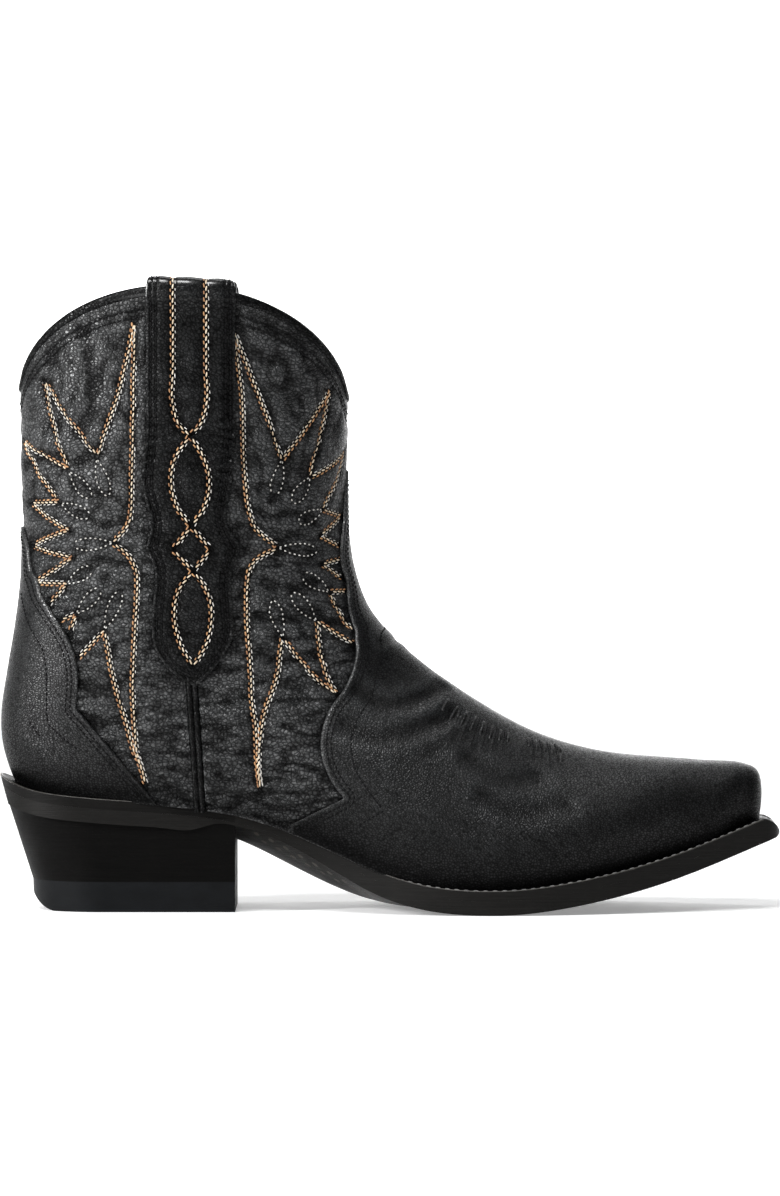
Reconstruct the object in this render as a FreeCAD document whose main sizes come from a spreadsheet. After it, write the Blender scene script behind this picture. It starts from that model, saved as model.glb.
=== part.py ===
import FreeCAD, Part
import math
import os
import Sketcher

# Pull-on western ankle boot, right foot.
# Millimetres. +X points at the toe, +Y at the inner (medial) side, +Z up.
# The origin is on the ground, under the middle of the boot.

Vector = FreeCAD.Vector
doc = FreeCAD.newDocument("boot")

# ---------------------------------------------------------------- dimensions

DIMENSIONS = {
    "last_stretch": 1.0,          # multiplies every length of the last
    "layer_gauge": 1.3,           # one thickness of upper leather or lining
    "collar_dip": 190.0,          # height of the collar's dips, above the origin
    "collar_tilt": 0.03,          # fall of the collar per millimetre towards the toe
    "collar_slope": 1.17,         # rise of the collar per millimetre of width
    "collar_round": 9.0,          # radius at the bottom of the collar's dips
    "binding_height": 3.2,
    "strap_top": 239.0,
    "strap_gauge": 1.3,
    "strap_width": 32.6,
    "strap_centre": -74.4,
    "strap_inside_end": 190.0,    # lower end of the leg inside the shaft
    "seam_gap": 4.0,              # width of the piping in the side seam
    "insole_gauge": 3.0,
    "footbed_gauge": 3.5,
    "welt_gauge": 3.6,
    "welt_reach": 11.0,           # from the sole's edge in to the rib
    "rib_gauge": 2.0,
    "outsole_gauge": 5.4,
    "crown_height": 6.4,          # extra depth in the middle of the waist
    "waist_bevel": 4.2,           # how much thinner the sole's edge is there
    "seat_width": 62.0,
    "seat_back": -147.5,
    "sole_tip": 147.5,
    "breast_place": -58.0,        # front face of the heel
    "cap_gauge": 11.4,
    "cap_width": 54.0,
    "cap_back": -134.6,
    "stack_width": 55.5,
    "stack_back": -135.0,
    "stack_rake": 0.322,          # how far the back leans out per millimetre
    "stack_spread": 0.16,         # how much wider per millimetre
    "lift_gauge": 4.0,
    "nail_radius": 1.3,
    "peg_radius": 1.1,
    "shank_width": 14.0,
    "shank_gauge": 1.6,
}

sheet = doc.addObject("Spreadsheet::Sheet", "dims")
for row, (alias, number) in enumerate(DIMENSIONS.items(), start=1):
    sheet.set("A%d" % row, alias)
    sheet.set("B%d" % row, str(number))
    sheet.setAlias("B%d" % row, alias)
doc.recompute()


def size(alias):
    """A driving dimension, as the spreadsheet holds it."""
    return float(getattr(sheet, alias))


# ------------------------------------------------------------ master last

# Rings of the last, from the collar down the shaft, round the heel and along
# the foot to the toe. Each ring lies in a plane that holds the Y direction:
#   back x, back z, front x, front z   ends of the ring's long axis
#   half width, sideways shift         at the ring's widest place
#   widest                             where that is, as a share of the axis
#   back power, front power            2 is an ellipse, more is squarer
LAST_RINGS = [
    (-142.6, 246, -12.6, 246, 38.6, 0.0, 0.50, 2.0, 2.0),
    (-141.6, 218, -13.6, 218, 38.2, 0.0, 0.50, 2.0, 2.0),
    (-140.9, 193, -14.4, 193, 37.8, 0.0, 0.50, 2.0, 2.0),
    (-139.9, 171, -15.3, 171, 37.4, 0.0, 0.50, 2.0, 2.0),
    (-139.6, 149, -15.4, 150, 37.0, 0.0, 0.50, 2.05, 2.0),
    (-139.9, 127, -13.6, 132, 36.2, 0.0, 0.50, 2.1, 2.0),
    (-142.3, 105, -9.0, 116.5, 35.2, 0.0, 0.50, 2.2, 2.0),
    (-145.8, 84, -2.4, 106.5, 34.4, 0.0, 0.51, 2.3, 2.0),
    (-146.8, 65, 6.0, 98.0, 34.0, 0.0, 0.53, 2.4, 2.0),
    (-140.0, 45, 14.5, 91.0, 34.4, 0.0, 0.56, 2.6, 1.9),
    (-124.0, 30, 23.0, 84.8, 35.6, 0.0, 0.58, 2.9, 1.9),
    (-95.0, 22, 32.0, 79.0, 37.4, -0.4, 0.58, 3.0, 1.85),
    (-62.0, 15, 42.5, 72.7, 39.8, -0.8, 0.54, 3.0, 1.8),
    (-32.0, 5, 55.5, 66.3, 42.2, -1.0, 0.48, 3.0, 1.8),
    (-6.0, -5, 70.0, 61.3, 44.0, -0.6, 0.42, 3.0, 1.85),
    (22.0, -9, 85.0, 58.4, 44.2, -0.2, 0.40, 3.0, 1.9),
    (50.0, -7, 99.5, 57.1, 41.0, 0.4, 0.40, 3.0, 2.0),
    (77.0, -1, 112.5, 56.2, 34.4, 1.0, 0.41, 3.0, 2.1),
    (102.0, 8, 124.5, 55.4, 26.4, 1.4, 0.42, 3.0, 2.2),
    (122.0, 17, 133.5, 54.8, 19.4, 1.5, 0.43, 3.0, 2.4),
    (134.6, 23, 138.2, 54.1, 14.4, 1.5, 0.44, 3.0, 2.6),
    (137.6, 25, 140.4, 53.2, 12.8, 1.5, 0.44, 3.0, 2.6),
    (138.9, 27, 141.4, 51.4, 10.8, 1.5, 0.44, 3.0, 2.6),
    (139.4, 29.5, 141.8, 49.0, 8.0, 1.5, 0.44, 3.0, 2.6),
]
RING_POINTS = 24


def last_ring(ring, inset):
    """One closed ring of the last, inset all round by a number of layers."""
    back_x, back_z, front_x, front_z, half_width, shift, widest, back_power, front_power = ring
    stretch = size("last_stretch")
    back = Vector(back_x, 0, back_z) * stretch
    front = Vector(front_x, 0, front_z) * stretch
    axis = front - back
    length = axis.Length
    axis.normalize()
    middle = back + axis * (widest * length)
    places = []
    for step in range(RING_POINTS):
        turn = 2 * math.pi * step / RING_POINTS
        along, across = math.cos(turn), math.sin(turn)
        ahead = along > 0
        power = front_power if ahead else back_power
        reach = (1 - widest if ahead else widest) * length - inset
        radius = (abs(along) ** power + abs(across) ** power) ** (-1 / power)
        places.append(middle + axis * (radius * along * reach)
                      + Vector(0, shift + radius * across * (half_width * stretch - inset), 0))
    curve = Part.BSplineCurve()
    curve.interpolate(Points=places, PeriodicFlag=True,
                      Parameters=[float(step) for step in range(RING_POINTS + 1)])
    return curve


def last_solid(inset):
    """The last as one solid, inset all round."""
    rings = [list(ring) for ring in LAST_RINGS]
    rings[0][1] += inset                # each smaller last stands a little taller
    rings[0][3] += inset
    for ring in rings[-4:]:
        ring[0] -= inset                # each layer stops short at the snipped toe
        ring[2] -= inset
    curves = [last_ring(ring, inset) for ring in rings]
    # The rings are skinned in step with the distance from each to the next.
    steps = [0.0]
    for before, after in zip(rings, rings[1:]):
        steps.append(steps[-1] + math.dist(before[:2], after[:2]) / 2
                     + math.dist(before[2:4], after[2:4]) / 2)
    lines = []
    for poles in zip(*[curve.getPoles() for curve in curves]):
        line = Part.BSplineCurve()
        line.interpolate(Points=list(poles), Parameters=steps)
        lines.append(line)
    skin = Part.BSplineSurface()
    skin.buildFromPolesMultsKnots(
        [line.getPoles() for line in lines],
        curves[0].getMultiplicities(), lines[0].getMultiplicities(),
        curves[0].getKnots(), lines[0].getKnots(), True, False, 3, 3)
    caps = [Part.Face(Part.Wire([curve.toShape()])) for curve in (curves[0], curves[-1])]
    return Part.makeSolid(Part.makeShell([skin.toShape()] + caps))


def feature(name, shape):
    """A document object that holds a shape made here."""
    made = doc.addObject("Part::Feature", name)
    made.Shape = shape
    return made


gauge = size("layer_gauge")
lasts = [feature("last_inset_%d" % n, last_solid(n * gauge)) for n in range(4)]
strap_last = feature("last_inside_strap", last_solid(3 * gauge + size("strap_gauge")))


# ------------------------------------------------------- booleans and prisms

def cut(name, base, tool):
    made = doc.addObject("Part::Cut", name)
    made.Base, made.Tool = base, tool
    return made


def common(name, *shapes):
    made = doc.addObject("Part::MultiCommon", name)
    made.Shapes = list(shapes)
    return made


def fuse(name, *shapes):
    made = doc.addObject("Part::MultiFuse", name)
    made.Shapes = list(shapes)
    return made


# Each view turns a sketch's x and y into two of the boot's axes.
SIDE_VIEW = FreeCAD.Rotation(Vector(1, 0, 0), 90)           # X and Z
FRONT_VIEW = FreeCAD.Rotation(Vector(1, 1, 1), 120)         # Y and Z
TOP_VIEW = FreeCAD.Rotation()                               # X and Y


def outline(name, view, *runs):
    """A closed sketch. Each run is a list of points: two make a line, more a curve.

    A run starts where the one before it ends, and the last run meets the first.
    """
    sketch = doc.addObject("Sketcher::SketchObject", name)
    sketch.Placement = FreeCAD.Placement(Vector(), view)
    for run in runs:
        points = [Vector(x, y, 0) for x, y in run]
        if len(points) == 2:
            sketch.addGeometry(Part.LineSegment(*points), False)
        else:
            curve = Part.BSplineCurve()
            curve.interpolate(points)
            sketch.addGeometry(curve, False)
    for n in range(len(runs)):
        sketch.addConstraint(Sketcher.Constraint("Coincident", n, 2, (n + 1) % len(runs), 1))
    return sketch


def prism(name, sketch, view, start, end):
    """A solid that a sketch sweeps along its view's axis, from start to end."""
    made = doc.addObject("Part::Extrusion", name)
    made.Base = sketch
    made.DirMode = "Custom"
    made.Dir = view.multVec(Vector(0, 0, 1))
    made.LengthFwd = end
    made.LengthRev = -start
    made.Solid = True
    return made


def polyline(*points):
    """The straight runs of a closed outline."""
    return [[points[n], points[(n + 1) % len(points)]] for n in range(len(points))]


def side_prism(name, *runs):
    """A prism right across the boot, drawn in the side view (X, Z)."""
    return prism(name, outline(name + "_outline", SIDE_VIEW, *runs), SIDE_VIEW, -80, 80)


def front_prism(name, start, end, *runs):
    """A prism along X from start to end, drawn in the front view (Y, Z)."""
    return prism(name, outline(name + "_outline", FRONT_VIEW, *runs), FRONT_VIEW, start, end)


# ------------------------------------------------------------ limit surfaces

# The feather line, where the upper meets the welt, from the heel to the toe.
FEATHER = [(-156, 57.0), (-148, 51.6), (-140, 47.4), (-124, 44.0), (-79, 40.4), (-56, 37.0),
           (-40, 32.0), (-25, 25.6), (-2, 15.2), (13, 11.0), (30, 9.2), (47, 9.3), (65, 11.4),
           (87, 15.8), (110, 22.4), (133, 31.0), (156, 40.0)]
BOOT_TOP = 275.0
BELOW = -40.0


FEATHER_CHORDS = 36


def feather_curve():
    """The feather line as one smooth curve in the middle plane."""
    curve = Part.BSplineCurve()
    curve.interpolate([Vector(x, 0, z) for x, z in FEATHER])
    return curve


def above_line(name, line, runs):
    """Everything above a line from the heel to the toe."""
    (x_heel, z_heel), (x_toe, z_toe) = line[0], line[-1]
    return side_prism(name, *runs, [(x_toe, z_toe), (x_toe, BOOT_TOP)],
                      [(x_toe, BOOT_TOP), (x_heel, BOOT_TOP)], [(x_heel, BOOT_TOP), (x_heel, z_heel)])


def above_feather_by(name, rise):
    """Everything above the feather line moved up by rise."""
    line = [(x, z + rise) for x, z in FEATHER]
    return above_line(name, line, [line])


def above_chords_by(name, rise):
    """The same with the line in short chords, which cuts the curved upper cleanly."""
    line = [(place.x, place.z + rise) for place in feather_curve().discretize(FEATHER_CHORDS + 1)]
    return above_line(name, line, [list(pair) for pair in zip(line, line[1:])])


def below_collar_by(name, drop):
    """Everything below the collar's edge, lowered by drop: a V in the front view."""
    slope, rounding = size("collar_slope"), size("collar_round")
    dip = size("collar_dip") - drop
    # the arc's ends lie where its slope is the V's own slope
    half = rounding * slope / math.hypot(1, slope)
    rise = rounding - math.sqrt(rounding ** 2 - half ** 2)
    base = dip + slope * half - rise
    side = 60.0
    edge = dip + slope * side
    sketch = doc.addObject("Sketcher::SketchObject", name + "_outline")
    sketch.Placement = FreeCAD.Placement(Vector(), FRONT_VIEW)
    corners = [(half, dip + slope * half), (side, edge), (side, BELOW), (-side, BELOW),
               (-side, edge), (-half, dip + slope * half)]
    for start, end in zip(corners, corners[1:]):
        sketch.addGeometry(Part.LineSegment(Vector(*start, 0), Vector(*end, 0)), False)
    sketch.addGeometry(Part.Arc(Vector(*corners[-1], 0), Vector(0, base, 0),
                                Vector(*corners[0], 0)), False)
    collar = prism(name, sketch, FRONT_VIEW, -170, 170)
    collar.Dir = Vector(1, 0, -size("collar_tilt"))
    return collar


welt_gauge = size("welt_gauge")
above_feather = above_chords_by("above_feather", 0)
below_edge = below_collar_by("below_edge", 0)
below_binding = below_collar_by("below_binding", size("binding_height"))

# The three layers of the upper: outer leather, shaft leather, lining.
shells = [cut("shell_%d" % n, lasts[n], lasts[n + 1]) for n in range(3)]
layers = [common("layer_%d" % n, shells[n], above_feather, below_binding) for n in range(3)]

# ---------------------------------------------------------- upper, outer layer

# rear edge of the vamp, from the tongue down to the welt
VAMP_EDGE = [(-6, 114), (-12.0, 107), (-12.2, 97), (-15.8, 86), (-22.6, 76.4), (-25.6, 66.8),
             (-25.2, 58), (-21.6, 49.5), (-17.2, 43.6)]
vamp_side = side_prism("vamp_side", VAMP_EDGE, [VAMP_EDGE[-1], (-37, 33.5)],
                       [(-37, 33.5), (-37, BELOW)], [(-37, BELOW), (170, BELOW)],
                       [(170, BELOW), (170, 114)], [(170, 114), VAMP_EDGE[0]])
TONGUE_HALF = [(17.5, 106), (15.0, 116), (11.8, 124), (12.6, 131), (11.0, 138), (6.2, 147),
               (4.0, 157), (0, 166)]
tongue_edge = [(-y, z) for y, z in TONGUE_HALF[:-1]] + TONGUE_HALF[::-1]
vamp_tongue = front_prism("vamp_tongue", -40, 60, tongue_edge,
                          [tongue_edge[-1], (30, 60)], [(30, 60), (-30, 60)],
                          [(-30, 60), tongue_edge[0]])
vamp = common("vamp", layers[0], fuse("vamp_region", vamp_side, vamp_tongue))

# front edge of the counter cover, from the back tab down to the welt
COUNTER_EDGE = [(-141.5, 130), (-134.4, 127), (-131.0, 118.6), (-124.0, 108.2), (-119.0, 99),
                (-117.2, 89), (-118.0, 76.8)]
counter_side = side_prism("counter_side", COUNTER_EDGE, [COUNTER_EDGE[-1], (-88, 42)],
                          [(-88, 42), (-84, BELOW)], [(-84, BELOW), (-170, BELOW)],
                          [(-170, BELOW), (-170, 130)], [(-170, 130), COUNTER_EDGE[0]])
TAB_HALF = [(18.6, 118), (14.2, 127), (10.8, 137), (6, 142.6), (0, 144.6)]
tab_edge = [(-y, z) for y, z in TAB_HALF[:-1]] + TAB_HALF[::-1]
counter_tab = front_prism("counter_tab", -170, -100, tab_edge, [tab_edge[-1], (24, 90)],
                          [(24, 90), (-24, 90)], [(-24, 90), tab_edge[0]])
counter_cover = common("counter_cover", layers[0],
                       fuse("counter_region", counter_side, counter_tab))

# ------------------------------------------------------------- pull straps

strap_left = size("strap_centre") - size("strap_width") / 2
strap_right = size("strap_centre") + size("strap_width") / 2
strap_top = size("strap_top")
OVERLAY_REAR = [(strap_left, 180), (-92.2, 161), (-88.9, 146), (-90.9, 137.4)]
OVERLAY_REAR_LOW = [(-90.9, 137.4), (-87.5, 128), (-88.6, 114), (-88.2, 101), (-82.6, 91.6),
                    (-72.8, 85.0)]
OVERLAY_FRONT_LOW = [(-72.8, 85.0), (-65.4, 92.6), (-59.2, 103), (-59.2, 115), (-59.6, 127),
                     (-56.4, 137.6)]
OVERLAY_FRONT = [(-56.4, 137.6), (-61.4, 148), (-59.4, 162), (strap_right, 180)]
strap_region = side_prism(
    "strap_region", OVERLAY_REAR, OVERLAY_REAR_LOW, OVERLAY_FRONT_LOW, OVERLAY_FRONT,
    [(strap_right, 180), (strap_right, strap_top)],
    [(strap_right, strap_top), (strap_left, strap_top)],
    [(strap_left, strap_top), (strap_left, 180)])
inner_leg_region = side_prism("inner_leg_region", *polyline(
    (strap_left, size("strap_inside_end")), (strap_right, size("strap_inside_end")),
    (strap_right, strap_top), (strap_left, strap_top)))
fold_region = side_prism("fold_region", *polyline(
    (strap_left, strap_top - size("strap_gauge")), (strap_right, strap_top - size("strap_gauge")),
    (strap_right, strap_top), (strap_left, strap_top)))
outer_leg = common("strap_outer_legs", shells[0], strap_region)
inner_leg = common("strap_inner_legs", cut("inner_strap_shell", lasts[3], strap_last),
                   inner_leg_region)
fold = common("strap_folds", cut("whole_wall", lasts[0], strap_last), fold_region)
straps = fuse("straps", outer_leg, inner_leg, fold)


def half_space(name, sign):
    """Everything on one side of the boot: -1 is the outer side, +1 the inner."""
    box = doc.addObject("Part::Box", name)
    box.Length, box.Width, box.Height = 340, 80, 330
    box.Placement.Base = Vector(-170, -80 if sign < 0 else 0, BELOW)
    return box


SIDES = {"lateral": half_space("lateral_half", -1), "medial": half_space("medial_half", 1)}
pull_straps = {side: common("pull_strap_" + side, straps, half) for side, half in SIDES.items()}

# ------------------------------------------------ shaft panels and side seams

gap = size("seam_gap") / 2
SEAM = [(-70.6, BELOW), (-71.0, 40), (-74.4, 90), (size("strap_centre"), BOOT_TOP)]


def behind_seam(name, offset):
    """Everything behind the side seam, moved forward by offset."""
    line = [(x + offset, z) for x, z in SEAM]
    return side_prism(name, *polyline(*line, (-170, BOOT_TOP), (-170, BELOW)))


behind_piping = behind_seam("behind_piping", -gap)
behind_front = behind_seam("behind_front", gap)
seam_strip = cut("seam_strip", behind_front, behind_piping)

# where the shaft leather ends under the vamp, and under the counter cover
UNDER_VAMP = [(30, 101), (-4, 96), (-8, 84), (-15, 74), (-17.4, 64), (-16, 54), (-10, 44),
              (-24, 28), (-24, BELOW), (170, BELOW), (170, 101)]
under_vamp = side_prism("under_vamp", *polyline(*UNDER_VAMP))
UNDER_COUNTER = [(-170, 122), (-138, 122), (-128.5, 104), (-126, 92), (-126.5, 74), (-98, 44),
                 (-95, BELOW), (-170, BELOW)]
under_counter = side_prism("under_counter", *polyline(*UNDER_COUNTER))

middle = layers[1]
front_shaft_panel = cut("front_shaft_panel", cut("front_blank", middle, behind_front), under_vamp)
back_shaft_panel = cut("back_shaft_panel", common("back_blank", middle, behind_piping),
                       under_counter)
heel_stiffener = common("heel_stiffener", middle, under_counter)

toe_puff_region = side_prism("toe_puff_region", *polyline(
    (84, 90), (92, BELOW), (170, BELOW), (170, 90)))
forefoot = common("forefoot_blank", middle, under_vamp)
toe_puff = common("toe_puff", forefoot, toe_puff_region)
vamp_interlining = cut("vamp_interlining", forefoot, toe_puff_region)

# The piping is two layers deep, and one layer deep under the strap.
over_panels = cut("over_panels", strap_region, lasts[1])
piping_shell = cut("piping_shell", lasts[0], lasts[2])
piping_blank = common("piping_blank", piping_shell, seam_strip, above_feather, below_binding)
piping = cut("piping", piping_blank, over_panels)
side_piping = {side: common("side_piping_" + side, piping, half)
               for side, half in SIDES.items()}

# ------------------------------------------------------------------- linings

vamp_lining_region = side_prism("vamp_lining_region", *polyline(
    (30, 122), (-9, 108), (-30, 88), (-40, BELOW), (170, BELOW), (170, 122)))
inner = layers[2]
vamp_lining = common("vamp_lining", inner, vamp_lining_region)
shaft_lining = cut("shaft_lining", inner, vamp_lining_region)
behind_middle = behind_seam("behind_middle", 0)
back_shaft_lining = common("back_shaft_lining", shaft_lining, behind_middle)
front_shaft_lining = cut("front_shaft_lining", shaft_lining, behind_middle)

collar_band = cut("collar_band", below_edge, below_binding)
collar_binding = cut("collar_binding", common(
    "binding_blank", cut("upper_wall", lasts[0], lasts[3]), collar_band), straps)


# ------------------------------------------------------------ insole, footbed

above_insole = above_chords_by("above_insole", size("insole_gauge"))
above_footbed = above_chords_by("above_footbed", size("insole_gauge") + size("footbed_gauge"))
insole_blank = common("insole_blank", lasts[3], cut("insole_band", above_feather, above_insole))
footbed = common("footbed", lasts[3], cut("footbed_band", above_insole, above_footbed))

# --------------------------------------------------- outline of the sole plan

seat_radius = size("seat_width") / 2
seat_centre = size("seat_back") + seat_radius
tip = size("sole_tip")
MEDIAL_EDGE = [(-86, 30.6), (-57, 28.4), (-32, 28.0), (-6, 34.2), (18, 42.6), (40, 47.8),
               (62, 47.2), (85, 41.4), (108, 32.2), (128, 22.8), (143, 16.0)]
LATERAL_EDGE = [(-86, -31.0), (-57, -30.2), (-32, -32.6), (-6, -40.6), (18, -47.8), (40, -49.8),
                (62, -47.0), (85, -39.6), (108, -29.8), (128, -19.8), (143, -13.0)]
TIP_MIDDLE, TIP_FLAT = 1.5, 7.5        # the snipped front edge: its middle and half its length


def plan_sketch(name, inset):
    """The sole's outline from above, inset all round: splines, a seat arc and a snipped tip."""
    sketch = doc.addObject("Sketcher::SketchObject", name)
    radius = seat_radius - inset
    ends = []
    for side, edge in ((1, MEDIAL_EDGE), (-1, LATERAL_EDGE)):
        line = Part.BSplineCurve()
        line.interpolate([Vector(seat_centre, side * seat_radius, 0)]
                         + [Vector(x, y, 0) for x, y in edge])
        places = [Vector(seat_centre, side * radius, 0)]
        for x, y in edge:
            place = Vector(x, y, 0)
            along = line.tangent(line.parameter(place))[0]
            inward = Vector(along.y, -along.x, 0) * (side * inset)
            if x + inward.x < tip - inset - 5:
                places.append(place + inward)
        if not inset:
            places[-1] = Vector(edge[-1][0], edge[-1][1], 0)
        inner_line = Part.BSplineCurve()
        inner_line.interpolate(places)
        sketch.addGeometry(inner_line, False)
        ends.append(places[-1])
    flat = max(TIP_FLAT - inset, 1.0)
    for end, side in zip(ends, (1, -1)):
        corner = Vector(tip - inset, TIP_MIDDLE + side * flat, 0)
        middle = (end + corner) * 0.5
        bulge = Vector(corner.x - middle.x, end.y - middle.y, 0) * 0.25
        sketch.addGeometry(Part.Arc(end, middle + bulge, corner), False)
    sketch.addGeometry(Part.LineSegment(Vector(tip - inset, TIP_MIDDLE - flat, 0),
                                        Vector(tip - inset, TIP_MIDDLE + flat, 0)), False)
    sketch.addGeometry(Part.Arc(Vector(seat_centre, -radius, 0),
                                Vector(seat_centre - radius, 0, 0),
                                Vector(seat_centre, radius, 0)), False)
    return sketch


def plan_prism(name, inset):
    """The sole's outline, inset all round, as a tall prism."""
    return prism(name, plan_sketch(name + "_outline", inset), TOP_VIEW, BELOW, BOOT_TOP)


# Side view of the sole's rounded tip, from the welt's top to the underside.
TIP_ROUND = [(139.5, 34.6), (143.0, 33.9), (145.7, 32.4), (147.1, 30.6), (147.45, 29.1),
             (146.5, 27.4), (144.0, 26.0)]
tip_top, tip_foot = TIP_ROUND[0], TIP_ROUND[-1]
beyond_tip = side_prism("beyond_tip", TIP_ROUND, *polyline(
    tip_foot, (tip_foot[0], BELOW), (170, BELOW), (170, 60), (tip_top[0], 60), tip_top)[:-1])
sole_prism = cut("sole_prism", plan_prism("sole_plan", 0), beyond_tip)
rib_outer = plan_prism("rib_outer", size("welt_reach"))
rib_inner = plan_prism("rib_inner", size("welt_reach") + size("rib_gauge"))

above_welt_base = above_feather_by("above_welt_base", -welt_gauge)
welt_band = cut("welt_band", above_welt_base, above_feather_by("above_welt", 0))
breast = size("breast_place")
before_breast = side_prism("before_breast", *polyline(
    (breast, BELOW), (170, BELOW), (170, BOOT_TOP), (breast, BOOT_TOP)))

# the sole's back edge leans forward with the heel below it
behind_lean = side_prism("behind_lean", *polyline((-148.8, 56), (-134.2, 10), (-170, 10), (-170, 56)))

welt_ring = cut("welt_ring", cut("welt_leaning", common("welt_blank", welt_band, sole_prism),
                                 behind_lean), rib_outer)
welt = common("welt", welt_ring, before_breast)
heel_seat_rand = cut("heel_seat_rand", welt_ring, before_breast)
core = common("bottom_core", welt_band, rib_outer)
insole_rib = cut("insole_rib", common("rib_blank", core, before_breast), rib_inner)

# -------------------------------------------------------------- steel shank

shank_body = doc.addObject("PartDesign::Body", "steel_shank")
shank_sketch = shank_body.newObject("Sketcher::SketchObject", "shank_profile")
side_plane = next(plane for plane in shank_body.Origin.OriginFeatures if plane.Role == "XZ_Plane")
shank_sketch.AttachmentSupport = [(side_plane, "")]
shank_sketch.MapMode = "FlatFace"
SHANK_LINE = [(-104, 40.2), (-80, 38.6), (-58, 35.6), (-42, 30.9), (-26, 24.2), (-8, 16.0), (4, 12.2)]
for rise in (0, -size("shank_gauge")):
    curve = Part.BSplineCurve()
    curve.interpolate([Vector(x, z + rise, 0) for x, z in SHANK_LINE])
    shank_sketch.addGeometry(curve, False)
for x, z in (SHANK_LINE[0], SHANK_LINE[-1]):
    shank_sketch.addGeometry(Part.LineSegment(
        Vector(x, z, 0), Vector(x, z - size("shank_gauge"), 0)), False)
shank_pad = shank_body.newObject("PartDesign::Pad", "shank_pad")
shank_pad.Profile = shank_sketch
shank_pad.SideType = "Symmetric"
shank_pad.setExpression("Length", "dims.shank_width")
doc.recompute()

# ------------------------------------------------------------------- outsole

feather = feather_curve()
SOLE_STEP = 10.0
WAIST_START, WAIST_END = -80.0, 30.0   # where the underside is domed
outsole_base = welt_gauge + size("outsole_gauge")


def smooth_step(value, start, end):
    """0 before start, 1 after end, and an even rise between them."""
    share = min(max((value - start) / (end - start), 0), 1)
    return share * share * (3 - 2 * share)


def feather_height(x):
    """Height of the feather line at x."""
    plane = Part.Plane(Vector(x, 0, 0), Vector(1, 0, 0))
    return feather.intersect(plane)[0][0].Z


def centre_drop(x):
    """How far the underside's middle lies below the feather line at x."""
    share = min(max((x - WAIST_START) / (WAIST_END - WAIST_START), 0), 1)
    return outsole_base + size("crown_height") * math.sin(math.pi * share) ** 2


def edge_drop(x):
    """How far the underside's edges lie below it: less in the waist, which is bevelled."""
    waist = smooth_step(x, -76, -62) - smooth_step(x, -52, 0)
    return outsole_base - size("waist_bevel") * waist


def crown_solid(name, edge, centre):
    """Everything above a surface given by its drop at the edges and in the middle."""
    wires = []
    x = -155.0
    while x <= 155.0:
        half = 27.0 + 12.0 * smooth_step(x, -55, 30)
        low, middle = feather_height(x) - edge(x), feather_height(x) - centre(x)
        dome = Part.BezierCurve()
        dome.setPoles([Vector(x, -half, low), Vector(x, 0, 2 * middle - low), Vector(x, half, low)])
        corners = [Vector(x, half, low), Vector(x, 70, low), Vector(x, 70, BOOT_TOP),
                   Vector(x, -70, BOOT_TOP), Vector(x, -70, low), Vector(x, -half, low)]
        edges = [dome.toShape()]
        edges += [Part.makeLine(start, end) for start, end in zip(corners, corners[1:])]
        wires.append(Part.Wire(edges))
        x += SOLE_STEP
    return feature(name, Part.makeLoft(wires, True, False))


above_sole = crown_solid("above_sole", edge_drop, centre_drop)
above_sole_top = crown_solid("above_sole_top", lambda x: welt_gauge,
                             lambda x: centre_drop(x) - size("outsole_gauge"))
outsole_prism = cut("outsole_prism", common("outsole_upright", above_sole, sole_prism), behind_lean)
outsole_blank = cut("outsole_blank", outsole_prism, above_sole_top)
waist_box = side_prism("waist_box", *polyline((-72, BELOW), (14, BELOW), (14, 60), (-72, 60)))
shank_cover = cut("shank_cover", common("shank_cover_blank", above_sole_top, rib_outer, waist_box),
                  above_welt_base)

# -------------------------------------------------------- heel stack and cap

SEAT_TOP = "dims.cap_gauge + 9 * dims.lift_gauge"      # well above the highest heel seat
HEEL_LEVELS = {"width": "dims.stack_width + dims.stack_spread * (%s - dims.cap_gauge)",
               "back": "dims.stack_back - dims.stack_rake * (%s - dims.cap_gauge)"}


def heel_outline(body, name, height, width, back):
    """A D seen from above: flat breast, straight sides and a round back."""
    sketch = body.newObject("Sketcher::SketchObject", name)
    plane = next(item for item in body.Origin.OriginFeatures if item.Role == "XY_Plane")
    sketch.AttachmentSupport = [(plane, "")]
    sketch.MapMode = "FlatFace"
    sketch.setExpression(".AttachmentOffset.Base.z", height)
    half, front, rear = 27.0, size("breast_place"), -130.0
    centre = rear + half
    corners = [Vector(centre, -half, 0), Vector(front, -half, 0),
               Vector(front, half, 0), Vector(centre, half, 0)]
    for start, end in zip(corners, corners[1:]):
        sketch.addGeometry(Part.LineSegment(start, end), False)
    sketch.addGeometry(Part.ArcOfCircle(Part.Circle(Vector(centre, 0, 0), Vector(0, 0, 1), half),
                                        math.pi / 2, 3 * math.pi / 2), False)
    add = sketch.addConstraint
    for n in range(2):
        add(Sketcher.Constraint("Coincident", n, 2, n + 1, 1))
    add(Sketcher.Constraint("Tangent", 2, 2, 3, 1))
    add(Sketcher.Constraint("Tangent", 3, 2, 0, 1))
    add(Sketcher.Constraint("Horizontal", 0))
    add(Sketcher.Constraint("Vertical", 1))
    add(Sketcher.Constraint("PointOnObject", 3, 3, -1))
    radius = add(Sketcher.Constraint("Radius", 3, half))
    breast_at = add(Sketcher.Constraint("DistanceX", -1, 1, 1, 1, front))
    centre_at = add(Sketcher.Constraint("DistanceX", -1, 1, 3, 3, centre))
    sketch.setExpression("Constraints[%d]" % radius, "(%s) / 2" % width)
    sketch.setExpression("Constraints[%d]" % breast_at, "dims.breast_place")
    sketch.setExpression("Constraints[%d]" % centre_at, "(%s) + (%s) / 2" % (back, width))
    return sketch


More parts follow.
